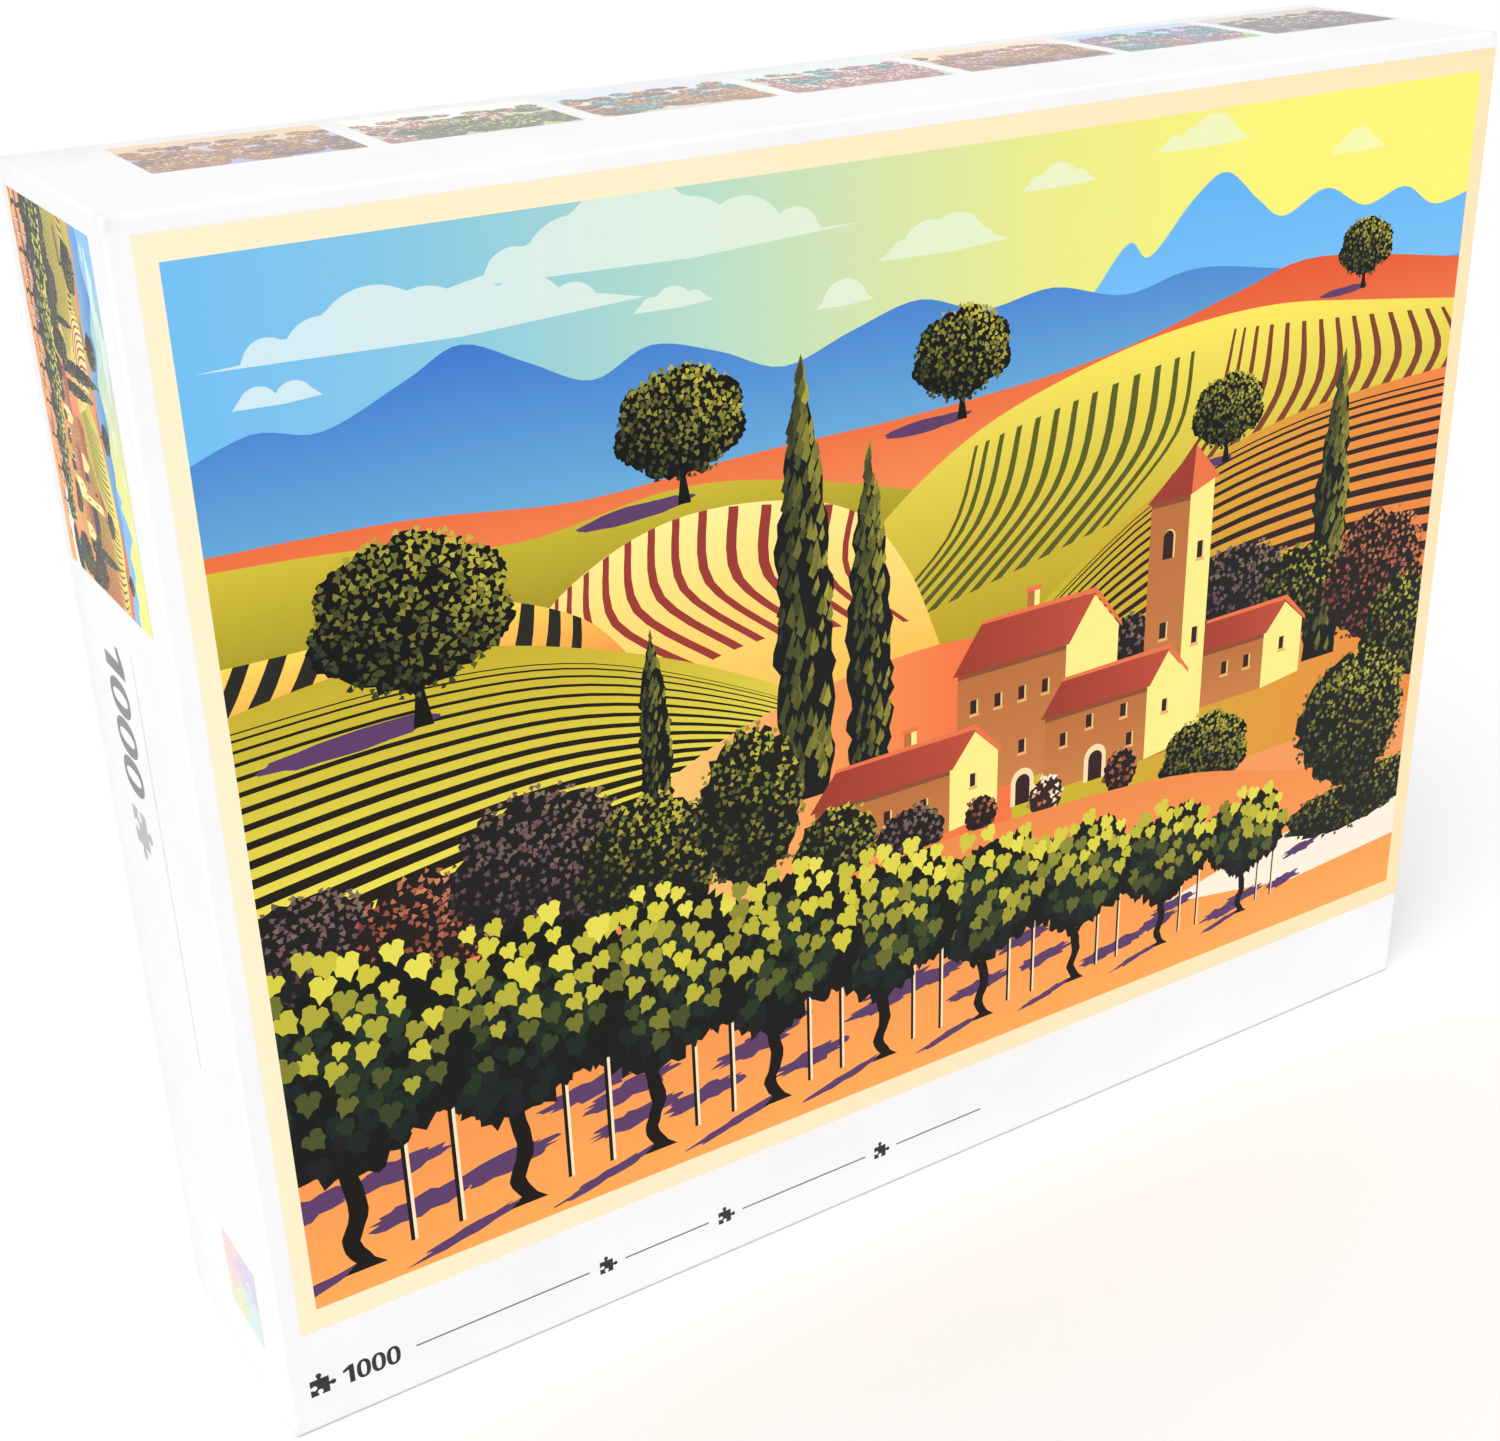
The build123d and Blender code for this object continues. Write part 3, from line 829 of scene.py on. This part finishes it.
def foreground(picture):
    soil = [(-5, 78), (60, 76), (120, 66), (180, 66), (250, 62), (300, 50), (346, 44)]
    picture.lay(land(soil, -5), shaded(0, (255, 170, 86), 66, (240, 138, 74)))
    picture.lay([(250, 22), (290, 30), (346, 34), (346, 17), (300, 14)], (255, 240, 222))
    bushes(picture, BY_THE_ROAD)
    for patch in range(SOIL_SHADOWS):
        share = patch / (SOIL_SHADOWS - 1)
        x = 6 + 300 * share + picture.chance.uniform(-8, 8)
        picture.lay(ragged(picture, x, 27 - 9 * share + picture.chance.uniform(-9, 7), 17 - 9 * share,
                           3.6 - 1.8 * share, 30, 0.4, 0.12), SHADOW)
    for place in reversed(range(VINES)):
        share = place / (VINES - 1)
        x, foot, scale = 12 + 268 * share ** 0.9, 7 + 3 * share, 1 - 0.52 * share
        shade = ragged(picture, x - 15 * scale, foot - 2.5 * scale, 19 * scale, 2 * scale, 30, 0.4, 0.22)
        picture.lay(shade, SHADOW)
        vine(picture, x, foot, scale)


def landscape(picture):
    """Draws the whole landscape over the rectangle of its own size."""
    picture.inside = picture.lay(rectangle(0, 0, ART_WIDTH, ART_HEIGHT), (244, 156, 92))
    sky(picture)
    mountains(picture)
    far_fields(picture)
    near_fields(picture)
    bushes(picture, BEHIND_THE_FARM)
    farmhouse(picture)
    bushes(picture, BEFORE_THE_FARM)
    tree(picture, 262, 48, 15)
    foreground(picture)
    picture.inside = None


# ---- what is printed on the lid

BORDER_LEFT, BORDER_BOTTOM, BORDER_TOP = 4.8, 27.9, 276.2
ART_LEFT, ART_BOTTOM = 9.1, 33.8
LID_WIDTH, LID_DEPTH, _ = (LID_HIGH - LID_LOW) / MM
# The cream darkens towards the right: painted shade, for the light that falls off across the front.
CREAM, CREAM_RIGHT_PAINTED_SHADE = (253, 240, 205), (252, 230, 184)
GREY, PALE_GREY, CHARCOAL = (112, 112, 115), (172, 172, 176), (52, 52, 56)
PASTELS = ((246, 206, 212), (226, 234, 184), (216, 200, 232), (204, 232, 232))
BORDER_RETURN = 4  # how far the border reaches past the right edge
TURN_STEPS = 6
LANDSCAPE_SEED = 28


def on_front(x, y):
    """Where a point of the front print lies: x from the lid's left edge and y up from its foot, and past the
    flat panel the paper turns round the box's right edge."""
    turned = (x - LID_WIDTH) * MM + EDGE_RADIUS
    radius = EDGE_RADIUS + INK_LIFT
    angle = min(max(turned / EDGE_RADIUS, 0.0), math.pi / 2)
    side = radius * math.sin(angle) if turned > 0 else turned
    back = radius * (1 - math.cos(angle)) + max(0.0, turned - EDGE_RADIUS * math.pi / 2)
    return LID_HIGH.x - EDGE_RADIUS + side, LID_LOW.y - INK_LIFT + back, LID_LOW.z + y * MM


def on_left_end(x, y):
    """The left end is read downwards, with its tops to the picture side."""
    return LID_LOW.x - INK_LIFT, LID_LOW.y + (LID_DEPTH - y) * MM, LID_HIGH.z - x * MM


def on_right_end(x, y):
    """The right end is read upwards, with its tops to the picture side."""
    return LID_HIGH.x + INK_LIFT, LID_LOW.y + (LID_DEPTH - y) * MM, LID_LOW.z + x * MM


def on_top(x, y):
    return LID_LOW.x + x * MM, LID_LOW.y + y * MM, LID_HIGH.z + INK_LIFT


def front_print(ink):
    """The landscape in its cream border, darkened towards the right in painted shade and run round the right
    edge, and the strip of marks below.
    """
    picture = Picture(LANDSCAPE_SEED)
    flat_end = LID_WIDTH - EDGE_RADIUS / MM
    turn = math.pi / 2 * EDGE_RADIUS / MM
    ends = [flat_end + turn * step / TURN_STEPS for step in range(TURN_STEPS + 1)]
    ends.append(LID_WIDTH + BORDER_RETURN)
    # Painted shade: the border darkens from left to right, and stays at its darkest where it turns round the
    # edge.
    picture.lay(rectangle(BORDER_LEFT, BORDER_BOTTOM, flat_end, BORDER_TOP),
                shaded(0, CREAM, LID_WIDTH, CREAM_RIGHT_PAINTED_SHADE, 0))
    for left, right in zip(ends, ends[1:]):
        picture.lay(rectangle(left, BORDER_BOTTOM, right, BORDER_TOP), CREAM_RIGHT_PAINTED_SHADE)
    picture.move(ART_LEFT, ART_BOTTOM)
    landscape(picture)
    picture.move()
    strip_marks(picture, foot=9.6)
    picture.make("front_print", on_front, ink)


def strip_marks(picture, foot):
    """The plain strip under the picture: a mark, the number of pieces and a row of rules."""
    jigsaw_mark(picture, 5, foot + 0.2, 4.6, CHARCOAL)
    end = numerals(picture, 13, foot, 5.2, CHARCOAL)
    for start, finish in ((end + 4, 77), (87, 111), (121, 159), (169, 197)):
        picture.lay(rectangle(start, foot + 2.4, finish, foot + 2.8), GREY)
    for middle in (82, 116, 164):
        jigsaw_mark(picture, middle - 2.1, foot + 0.6, 3.6, CHARCOAL)


def oval_point(turn, half_width, half_height, roundness):
    """The point of an upright oval at an angle, from its middle. The less roundness, the squarer it is."""
    right, up = math.cos(turn), math.sin(turn)
    return (half_width * math.copysign(abs(right) ** roundness, right),
            half_height * math.copysign(abs(up) ** roundness, up))


def oval(x, y, half_width, half_height, roundness=1.0, corners=36):
    points = [oval_point(2 * math.pi * corner / corners, half_width, half_height, roundness)
              for corner in range(corners)]
    return [(x + right, y + up) for right, up in points]


def numerals(picture, x, y, height, colour):
    """The figures 1000, which is the number of pieces. Returns the x where they end."""
    width, stem, gap = 0.66 * height, 0.24 * height, 0.12 * height
    right = x + 0.52 * height
    picture.lay([(right - stem, y), (right, y), (right, y + height), (right - 0.8 * stem, y + height),
                 (x, y + 0.80 * height), (x + 0.02 * height, y + 0.66 * height),
                 (right - stem, y + 0.76 * height)], colour)
    for place in range(3):
        middle = right + gap + width * (0.5 + 1.08 * place)
        picture.lay(oval(middle, y + height / 2, width / 2, 0.51 * height, 0.85), colour)
        picture.lay(oval(middle, y + height / 2, width / 2 - 0.20 * height, 0.38 * height, 0.85), None)
    return right + gap + width * 3.16


def knob(picture, x, y, right, up, size, colour):
    """A jigsaw knob that stands on the point (x, y) and reaches right or up. None cuts a socket."""
    reach, foot, narrow, wide = 0.20 * size, 0.02 * size, 0.09 * size, 0.15 * size
    middle = (x + right * reach, y + up * reach)
    neck = [(x - right * foot, y - up * foot, -narrow), (*middle, -narrow), (*middle, narrow),
            (x - right * foot, y - up * foot, narrow)]
    picture.lay([(at_x + up * aside, at_y + right * aside) for at_x, at_y, aside in neck], colour)
    picture.lay(oval(*middle, wide, wide, corners=20), colour)


def jigsaw_mark(picture, x, y, size, colour):
    """One jigsaw piece, from its lower left corner, with two knobs and two sockets."""
    picture.lay(rectangle(x, y, x + size, y + size), colour)
    for at_x, at_y, right, up, ink in ((1, 0.5, 1, 0, colour), (0.5, 1, 0, 1, colour), (0, 0.5, 1, 0, None),
                                       (0.5, 0, 0, 1, None)):
        knob(picture, x + at_x * size, y + at_y * size, right, up, size, ink)


def four_pieces(picture, x, y, size):
    """Four jigsaw pieces put together, each in its own colour."""
    gap = 0.03 * size
    for place, colour in enumerate(PASTELS):
        left, bottom = x + (place % 2) * size, y + (place // 2) * size
        picture.lay(rectangle(left + gap, bottom + gap, left + size - gap, bottom + size - gap), colour)
    knobs = ((1, 0.5, 1, 0, 0), (1.5, 1, 0, 1, 1), (1, 1.5, -1, 0, 3), (0.5, 1, 0, -1, 2))
    for at_x, at_y, right, up, place in knobs:
        knob(picture, x + at_x * size, y + at_y * size, right, up, size * 1.25, None)
        knob(picture, x + at_x * size, y + at_y * size, right, up, size * 1.05, PASTELS[place])


END_ART_WIDTH, END_MARGIN = 78, 5
END_RULE = (206, 206, 210)


def end_print(name, to_space, ink):
    # The end pictures are lightened a little towards white: painted glare.
    picture = Picture(LANDSCAPE_SEED, leaves=0.3, painted_glare=0.16)
    scale = END_ART_WIDTH / ART_WIDTH
    picture.move(END_MARGIN, END_MARGIN, scale, scale)
    landscape(picture)
    picture.move()
    end = numerals(picture, 95.5, 18.7, 13.1, GREY)
    jigsaw_mark(picture, end + 4.5, 19.2, 9, PALE_GREY)
    picture.lay(rectangle(93, 39.5, 194, 39.8), END_RULE)
    four_pieces(picture, 242, 33, 11)
    picture.make(name, to_space, ink)


# The little pictures on the long side: the colours of the sky and the ground, and those of what grows there.
LAVENDER = ((70, 60, 104), (110, 98, 160), (150, 140, 200), (190, 184, 226))
AMBER = ((110, 60, 30), (180, 96, 44), (226, 150, 70), (246, 206, 120))
ROSE = ((110, 50, 64), (190, 90, 110), (232, 150, 160), (250, 214, 214))
TEAL = ((30, 76, 80), (60, 130, 130), (110, 180, 172), (180, 220, 208))
SLATE = ((54, 50, 50), (110, 100, 94), (180, 168, 156), (240, 234, 226))
SMALL_VIEWS = (
    ((226, 176, 120), (132, 136, 206), (AMBER, RUST, AMBER)),
    ((244, 244, 232), (170, 186, 96), (OLIVE, BLOSSOM, GRAPE)),
    ((206, 216, 232), (222, 200, 164), (RUST, TEAL, AMBER)),
    ((206, 232, 230), (186, 170, 140), (ROSE, TEAL, BLOSSOM)),
    ((240, 200, 150), (130, 110, 104), (AMBER, ROSE, RUST)),
    ((150, 196, 236), (120, 170, 90), (TEAL, ROSE, LAVENDER)),
    ((190, 180, 172), (116, 104, 98), (SLATE, HEATHER, SLATE)))
SMALL_WIDTH, SMALL_HEIGHT = 43.5, 30.0
GARDEN_SEED = 7


def small_view(picture, sky_colour, ground, growth):
    """A little garden scene: sky over ground, and rows of plants that are larger the nearer they are."""
    chance = picture.chance
    picture.inside = picture.lay(rectangle(0, 0, SMALL_WIDTH, SMALL_HEIGHT),
                                 shaded(0, mix(sky_colour, WHITE, 0.4), SMALL_HEIGHT, sky_colour))
    horizon = ((-0.03, 0.62), (0.3, 0.70), (0.7, 0.6), (1.03, 0.68))
    shore = [(right * SMALL_WIDTH, up * SMALL_HEIGHT) for right, up in horizon]
    picture.lay(land(shore, -1), shaded(0, ground, 0.7 * SMALL_HEIGHT, mix(ground, WHITE, 0.3)))
    for row in range(5):
        size = 2.8 + 0.8 * row
        for place in range(9 - row):
            x = SMALL_WIDTH * (place + chance.uniform(0.1, 0.9)) / (9 - row)
            y = SMALL_HEIGHT * (0.74 - 0.15 * row) + chance.uniform(-1.5, 1.5)
            bush(picture, x, y, size, size * chance.uniform(0.6, 1.0), chance.choice(growth), 0.62, 0.0)
    picture.inside = None


def top_print(ink):
    # The little pictures on the top are lightened by half towards white: painted glare.
    picture = Picture(GARDEN_SEED, leaves=0.8, painted_glare=0.5)
    first, pitch, bottom = 19.6, 48.3, 32
    for place, view in enumerate(SMALL_VIEWS):
        picture.move(first + place * pitch, bottom)
        small_view(picture, *view)
    picture.make("top_print", on_top, ink)


def add_prints():
    ink = print_ink("printed_paper")
    front_print(ink)
    end_print("left_end_print", on_left_end, ink)
    end_print("right_end_print", on_right_end, ink)
    top_print(ink)


# ---- the folded poster

POSTER_WIDE, POSTER_TALL = 711.2, 508.0
PLY_PITCH = 0.7  # from one doubled ply of the folded poster to the next
DOUBLED = 0.18  # between the two layers of a ply
FIRST_PLY = DOUBLED + 0.12  # how deep the first ply's middle lies in the room that the CAD poster takes
POSTER_PAPER = 0.1
BEND_STEPS = 6


def fold_path(along_it, panel, bend_radius):
    """A path that runs up and down like a concertina. Returns its place up the poster, its depth in the pile,
    and the direction (up, deep) that it faces."""
    bend = math.pi * bend_radius
    number = min(int(along_it / (panel + bend)), round((POSTER_WIDE + bend) / (panel + bend)) - 1)
    rest = along_it - number * (panel + bend)
    sign = 1 if number % 2 == 0 else -1
    deep = number * 2 * bend_radius
    if rest <= panel:
        return (rest if sign > 0 else panel - rest), deep, (0.0, -sign)
    turn = (rest - panel) / bend_radius
    end = panel if sign > 0 else 0.0
    up = end + sign * bend_radius * math.sin(turn)
    return up, deep + bend_radius * (1 - math.cos(turn)), (sign * math.sin(turn), -sign * math.cos(turn))


def poster():
    """The poster, folded across its middle with its print outside, and then in four like a concertina."""
    low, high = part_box("poster")
    bend_radius = PLY_PITCH / 2
    bend = math.pi * bend_radius
    panel = (POSTER_WIDE - 3 * bend) / 4
    tuck = DOUBLED / 2
    middle = POSTER_TALL / 2

    def place(x, y):
        up, deep, (face_up, face_deep) = fold_path(min(max(x, 0.0), POSTER_WIDE), panel, bend_radius)
        turn = min(max((y - middle) / tuck + math.pi / 2, 0.0), math.pi)
        beyond = abs(y - middle) - math.pi / 2 * tuck
        sideways = tuck * math.sin(turn) if beyond <= 0 else -beyond
        layer = -tuck * math.cos(turn)
        return (high.x - tuck * MM - PAPER / 2 + sideways * MM,
                low.y + (FIRST_PLY + deep + face_deep * layer) * MM,
                low.z + (bend_radius + tuck + up + face_up * layer) * MM)

    picture = Picture(LANDSCAPE_SEED, leaves=0.3)
    picture.move(0, 0, POSTER_WIDE / ART_WIDTH, POSTER_TALL / ART_HEIGHT)
    landscape(picture)
    for step in range(BEND_STEPS + 1):
        for fold in range(3):
            x = panel * (fold + 1) + bend * (fold + step / BEND_STEPS)
            picture.creases.append(((x, 0), (x, POSTER_TALL)))
        y = middle + math.pi * tuck * (step / BEND_STEPS - 0.5)
        picture.creases.append(((0, y), (POSTER_WIDE, y)))
    ink = print_ink("poster_print")
    piece = picture.make("folded_poster", place, ink, "poster", ["poster"])
    piece.data.materials.append(poster_back())
    thick = piece.modifiers.new("paper", "SOLIDIFY")
    thick.thickness = POSTER_PAPER * MM
    thick.offset = -1
    thick.material_offset = 1
    thick.material_offset_rim = 1


def poster_back():
    """The poster's unprinted side: white paper with a faint show-through."""
    material = surface("poster_back", linear((240, 238, 232)), 0.7)
    shades = between(material, spread(material, noise(material, 45, 4)), (244, 242, 236), (226, 224, 218))
    link(material, shades, "Base Color")
    relief(material, noise(material, 1800, 3), 0.01 * MM)
    return material


# ---- the jigsaw's pieces

PIECE_WIDE, PIECE_TALL, PIECE_THICK = 17.78, 20.32, 1.9
KNOB_REACH = 17.0
PIECES, CORNER_PIECES, EDGE_PIECES = 1000, 4, 122
KNOB = ((0.36, 0.0), (0.41, 0.025), (0.40, 0.10), (0.36, 0.165), (0.385, 0.235), (0.45, 0.275), (0.5, 0.285),
        (0.55, 0.275), (0.615, 0.235), (0.64, 0.165), (0.60, 0.10), (0.59, 0.025), (0.64, 0.0))
ART_SHADES = ((120, 198, 248), (70, 130, 212), (232, 100, 56), (214, 196, 54), (248, 236, 96), (30, 34, 24),
              (96, 62, 108), (255, 168, 86), (186, 110, 58), (180, 176, 60), (246, 234, 150), (60, 74, 36))
PIECE_BOARD = (150, 158, 170)
STANDING_SHARE = 0.24  # of the pieces, which stand against the film
USUAL_LEAN, MOST_LEAN = 0.25, 1.3  # radians from lying flat
STANDING_TILT, STANDING_TURN = 0.22, 0.16  # radians each way
MOUND_DIP = 0.14  # how much lower the heap is between its mounds
SIDE_ROOM, FRONT_ROOM, FOOT_ROOM = 4, 2.2, 1.4  # between the film's box and the pieces
TOP_EDGE = 0.35  # the height of the bevel round a printed face


def piece_outline(chance, straight):
    """The outline of one piece about its middle, in millimetres. straight is how many sides have no knob."""
    signs = ((-1, -1), (1, -1), (1, 1), (-1, 1))
    corners = [Vector((x * PIECE_WIDE / 2, y * PIECE_TALL / 2)) for x, y in signs]
    outline = []
    for side, (start, end) in enumerate(zip(corners, corners[1:] + corners[:1])):
        run = (end - start).normalized()
        outward = Vector((run.y, -run.x))
        outline.append(start)
        if side < straight:
            continue
        shift = chance.uniform(-0.06, 0.06)
        reach = chance.choice((1, -1)) * KNOB_REACH
        outline += [start.lerp(end, share + shift) + outward * height * reach for share, height in KNOB]
    return outline


def lying(chance, low, high):
    """A turn and a place in the bag for one piece: most lie flat or lean, and some stand against the film."""
    spin = chance.uniform(0, 2 * math.pi)
    lean = chance.triangular(0, MOST_LEAN, USUAL_LEAN)
    toward = chance.uniform(0, 2 * math.pi)
    x, y = chance.uniform(low.x, high.x), chance.uniform(low.y, high.y)
    if chance.random() < STANDING_SHARE:
        lean = math.pi / 2 + chance.uniform(-STANDING_TILT, STANDING_TILT)
        toward = chance.choice((0, math.pi)) + chance.uniform(-STANDING_TURN, STANDING_TURN)
        y = chance.choice((low.y, high.y)) + chance.uniform(-1, 1) * MM
    turn = Euler((lean, 0, toward)).to_matrix() @ Euler((0, 0, spin)).to_matrix()
    wave = math.cos((x - low.x) / (high.x - low.x) * 4 * math.pi)
    mound = 1 - MOUND_DIP + MOUND_DIP * wave * chance.random()
    return turn, Vector((x, y, low.z + (high.z - low.z) * chance.random() * mound))


def loose_pieces():
    """All 1000 pieces as they lie in the bag, tumbled over one another."""
    chance = random.Random(PIECES)
    bag_low, bag_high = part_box("puzzle_bag")
    low = bag_low + Vector((SIDE_ROOM, FRONT_ROOM, FOOT_ROOM)) * MM
    high = Vector((bag_high.x - SIDE_ROOM * MM, bag_high.y - FRONT_ROOM * MM, bag_low.z + HEAP_HEIGHT))
    points, faces, colours = [], [], []
    board = linear(PIECE_BOARD)
    half = PIECE_THICK / 2
    for number in range(PIECES):
        outline = piece_outline(chance, (number < CORNER_PIECES) + (number < CORNER_PIECES + EDGE_PIECES))
        turn, place = lying(chance, low, high)
        body = [place + turn @ Vector((x * size, y * size, z)) * MM
                for size, z in ((1, -half), (1, half - TOP_EDGE), (0.975, half)) for x, y in outline]
        shift = Vector([max(0.0, low[axis] - min(point[axis] for point in body))
                        - max(0.0, max(point[axis] for point in body) - high[axis]) for axis in range(3)])
        start, count = len(points), len(outline)
        points += [point + shift for point in body]
        under, top = range(start, start + count), range(start + 2 * count, start + 3 * count)
        faces += [tuple(reversed(under)), tuple(top), *band(start, count), *band(start + count, count)]
        shade = linear(mix(chance.choice(ART_SHADES), chance.choice(ART_SHADES), 0.25 * chance.random()))
        colours += [board] * count + [shade] * count
        colours += [board] * 4 * count + [board, board, shade, shade] * count
    nodes = [name for name in sorted(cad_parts) if "_pieces" in name]
    new_piece("loose_pieces", points, faces, piece_print(), "bag", nodes, colours)


def piece_print():
    """A piece's printed face, broken up as a scrap of picture is, over grey-blue board."""
    material = surface("piece_print", (0.5, 0.5, 0.5), 0.5)
    ink = add(material, "ShaderNodeAttribute", attribute_name="ink")
    blotch = spread(material, noise(material, 150, 5), -0.5, 0.55)
    link(material, between(material, blotch, ink.outputs["Color"], (60, 58, 34)), "Base Color")
    link(material, spread(material, noise(material, 300), 0.42, 0.6), "Roughness")
    relief(material, noise(material, 1400, 3), 0.02 * MM)
    return material


# ---- the film bag

HEAP_HEIGHT = 88 * MM
BAG_SHOULDER = 90 * MM  # where the film leaves the pieces
BAG_ROUND = 10 * MM  # the rounding of its foot
SEAL_BAND = 22 * MM
SEAL_HALF_LENGTH = 131 * MM
FILM_SLACK, SHOULDER_SLACK = 0.8 * MM, 4.5 * MM  # how deep the film's crumples are
FOLDS_ACROSS, FOLDS_UP, DIPS = 190, 26, 60  # waves to the metre
SWAY_PITCH = 31  # radians to the metre
SEAL_THICKNESS, SEAL_SWAY, SEAL_DIP = 0.5 * MM, 3 * MM, 1.5 * MM


def fold_noise(x, y, z):
    """Sharp-ridged noise, from about 0 to 1, as crumpled film has."""
    return 1 - abs(mathutils_noise.noise(Vector((x, y, z)))) * 1.9


def film_point(share, up, low, high):
    """A point of the film: share of the way round the bag, up in metres from its foot."""
    middle = (low + high) / 2
    band_foot = high.z - low.z - SEAL_BAND
    closing = min(1.0, max(0.0, (up - BAG_SHOULDER) / (band_foot - BAG_SHOULDER)))
    closing = closing * closing * (3 - 2 * closing)
    foot = min(1.0, up / BAG_ROUND)
    tuck = BAG_ROUND * (1 - math.sqrt(max(0.0, 1 - (1 - foot) ** 2)))
    half_x, half_y = (high.x - low.x) / 2 - tuck, (high.y - low.y) / 2 - tuck
    half_x += (SEAL_HALF_LENGTH - half_x) * closing
    half_y += (SEAL_THICKNESS / 2 - half_y) * closing
    x, y = oval_point(2 * math.pi * share, half_x, half_y, 0.28 + 0.25 * closing)
    slack = FILM_SLACK + SHOULDER_SLACK * closing * (1 - closing) * 4
    crease = fold_noise(x * FOLDS_ACROSS, math.copysign(7.0, y), up * FOLDS_UP)
    folds = slack * crease * min(1.0, foot * 2)
    y -= math.copysign(min(abs(y) * 0.6, folds), y)
    sway = closing * SEAL_SWAY * math.sin(x * SWAY_PITCH + 1.3)
    dip = SEAL_DIP * closing * (fold_noise(x * DIPS, 3.0, 0.0) - 0.5)
    return middle.x + x, middle.y + y + sway, low.z + up - max(0.0, dip)


def film_bag():
    """A clear bag that holds the heap below and closes to a flat welded band above."""
    low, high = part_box("puzzle_bag")
    around, levels = 300, 76
    start = 0.1 * MM
    height = high.z - low.z - start
    middle = (low + high) / 2
    points = [(middle.x, middle.y, low.z)]
    for level in range(levels + 1):
        up = start + height * (level / levels) ** 1.05
        points += [film_point(step / around, up, low, high) for step in range(around)]
    faces = [(0, 1 + (step + 1) % around, 1 + step) for step in range(around)]
    for level in range(levels):
        faces += band(1 + level * around, around)
    new_piece("film_bag", points, faces, film(), "bag", ["puzzle_bag"], smooth_angle=60)


def film():
    """Clear, slightly milky film with fine crumples."""
    material = surface("film", (0.93, 0.95, 0.96), 0.12, Alpha=0.25)
    relief(material, noise(material, 90, 5, (1.6, 1, 0.7)), 0.5 * MM)
    return material


# ---- the whole scene

def add_cad_materials():
    """The CAD pieces that are shown as they are: the two boards and the tape at their corners."""
    board = fibrous("greyboard", (128, 119, 106), (168, 158, 143), roughness=0.9, grain=700,
                    stretch=(1, 1, 3), height=0.05 * MM)
    tape = fibrous("kraft_tape", (158, 122, 82), (194, 160, 116), roughness=0.75, grain=900,
                   stretch=(1, 1, 0.15), height=0.02 * MM)
    finishes = {"_board": board, "_corner_stay_": tape}
    for name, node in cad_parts.items():
        for part, material in finishes.items():
            if part in name:
                node.data.materials.clear()
                node.data.materials.append(material)


set_camera()
set_studio()
set_floor()
add_wraps()
add_prints()
poster()
loose_pieces()
film_bag()
add_cad_materials()
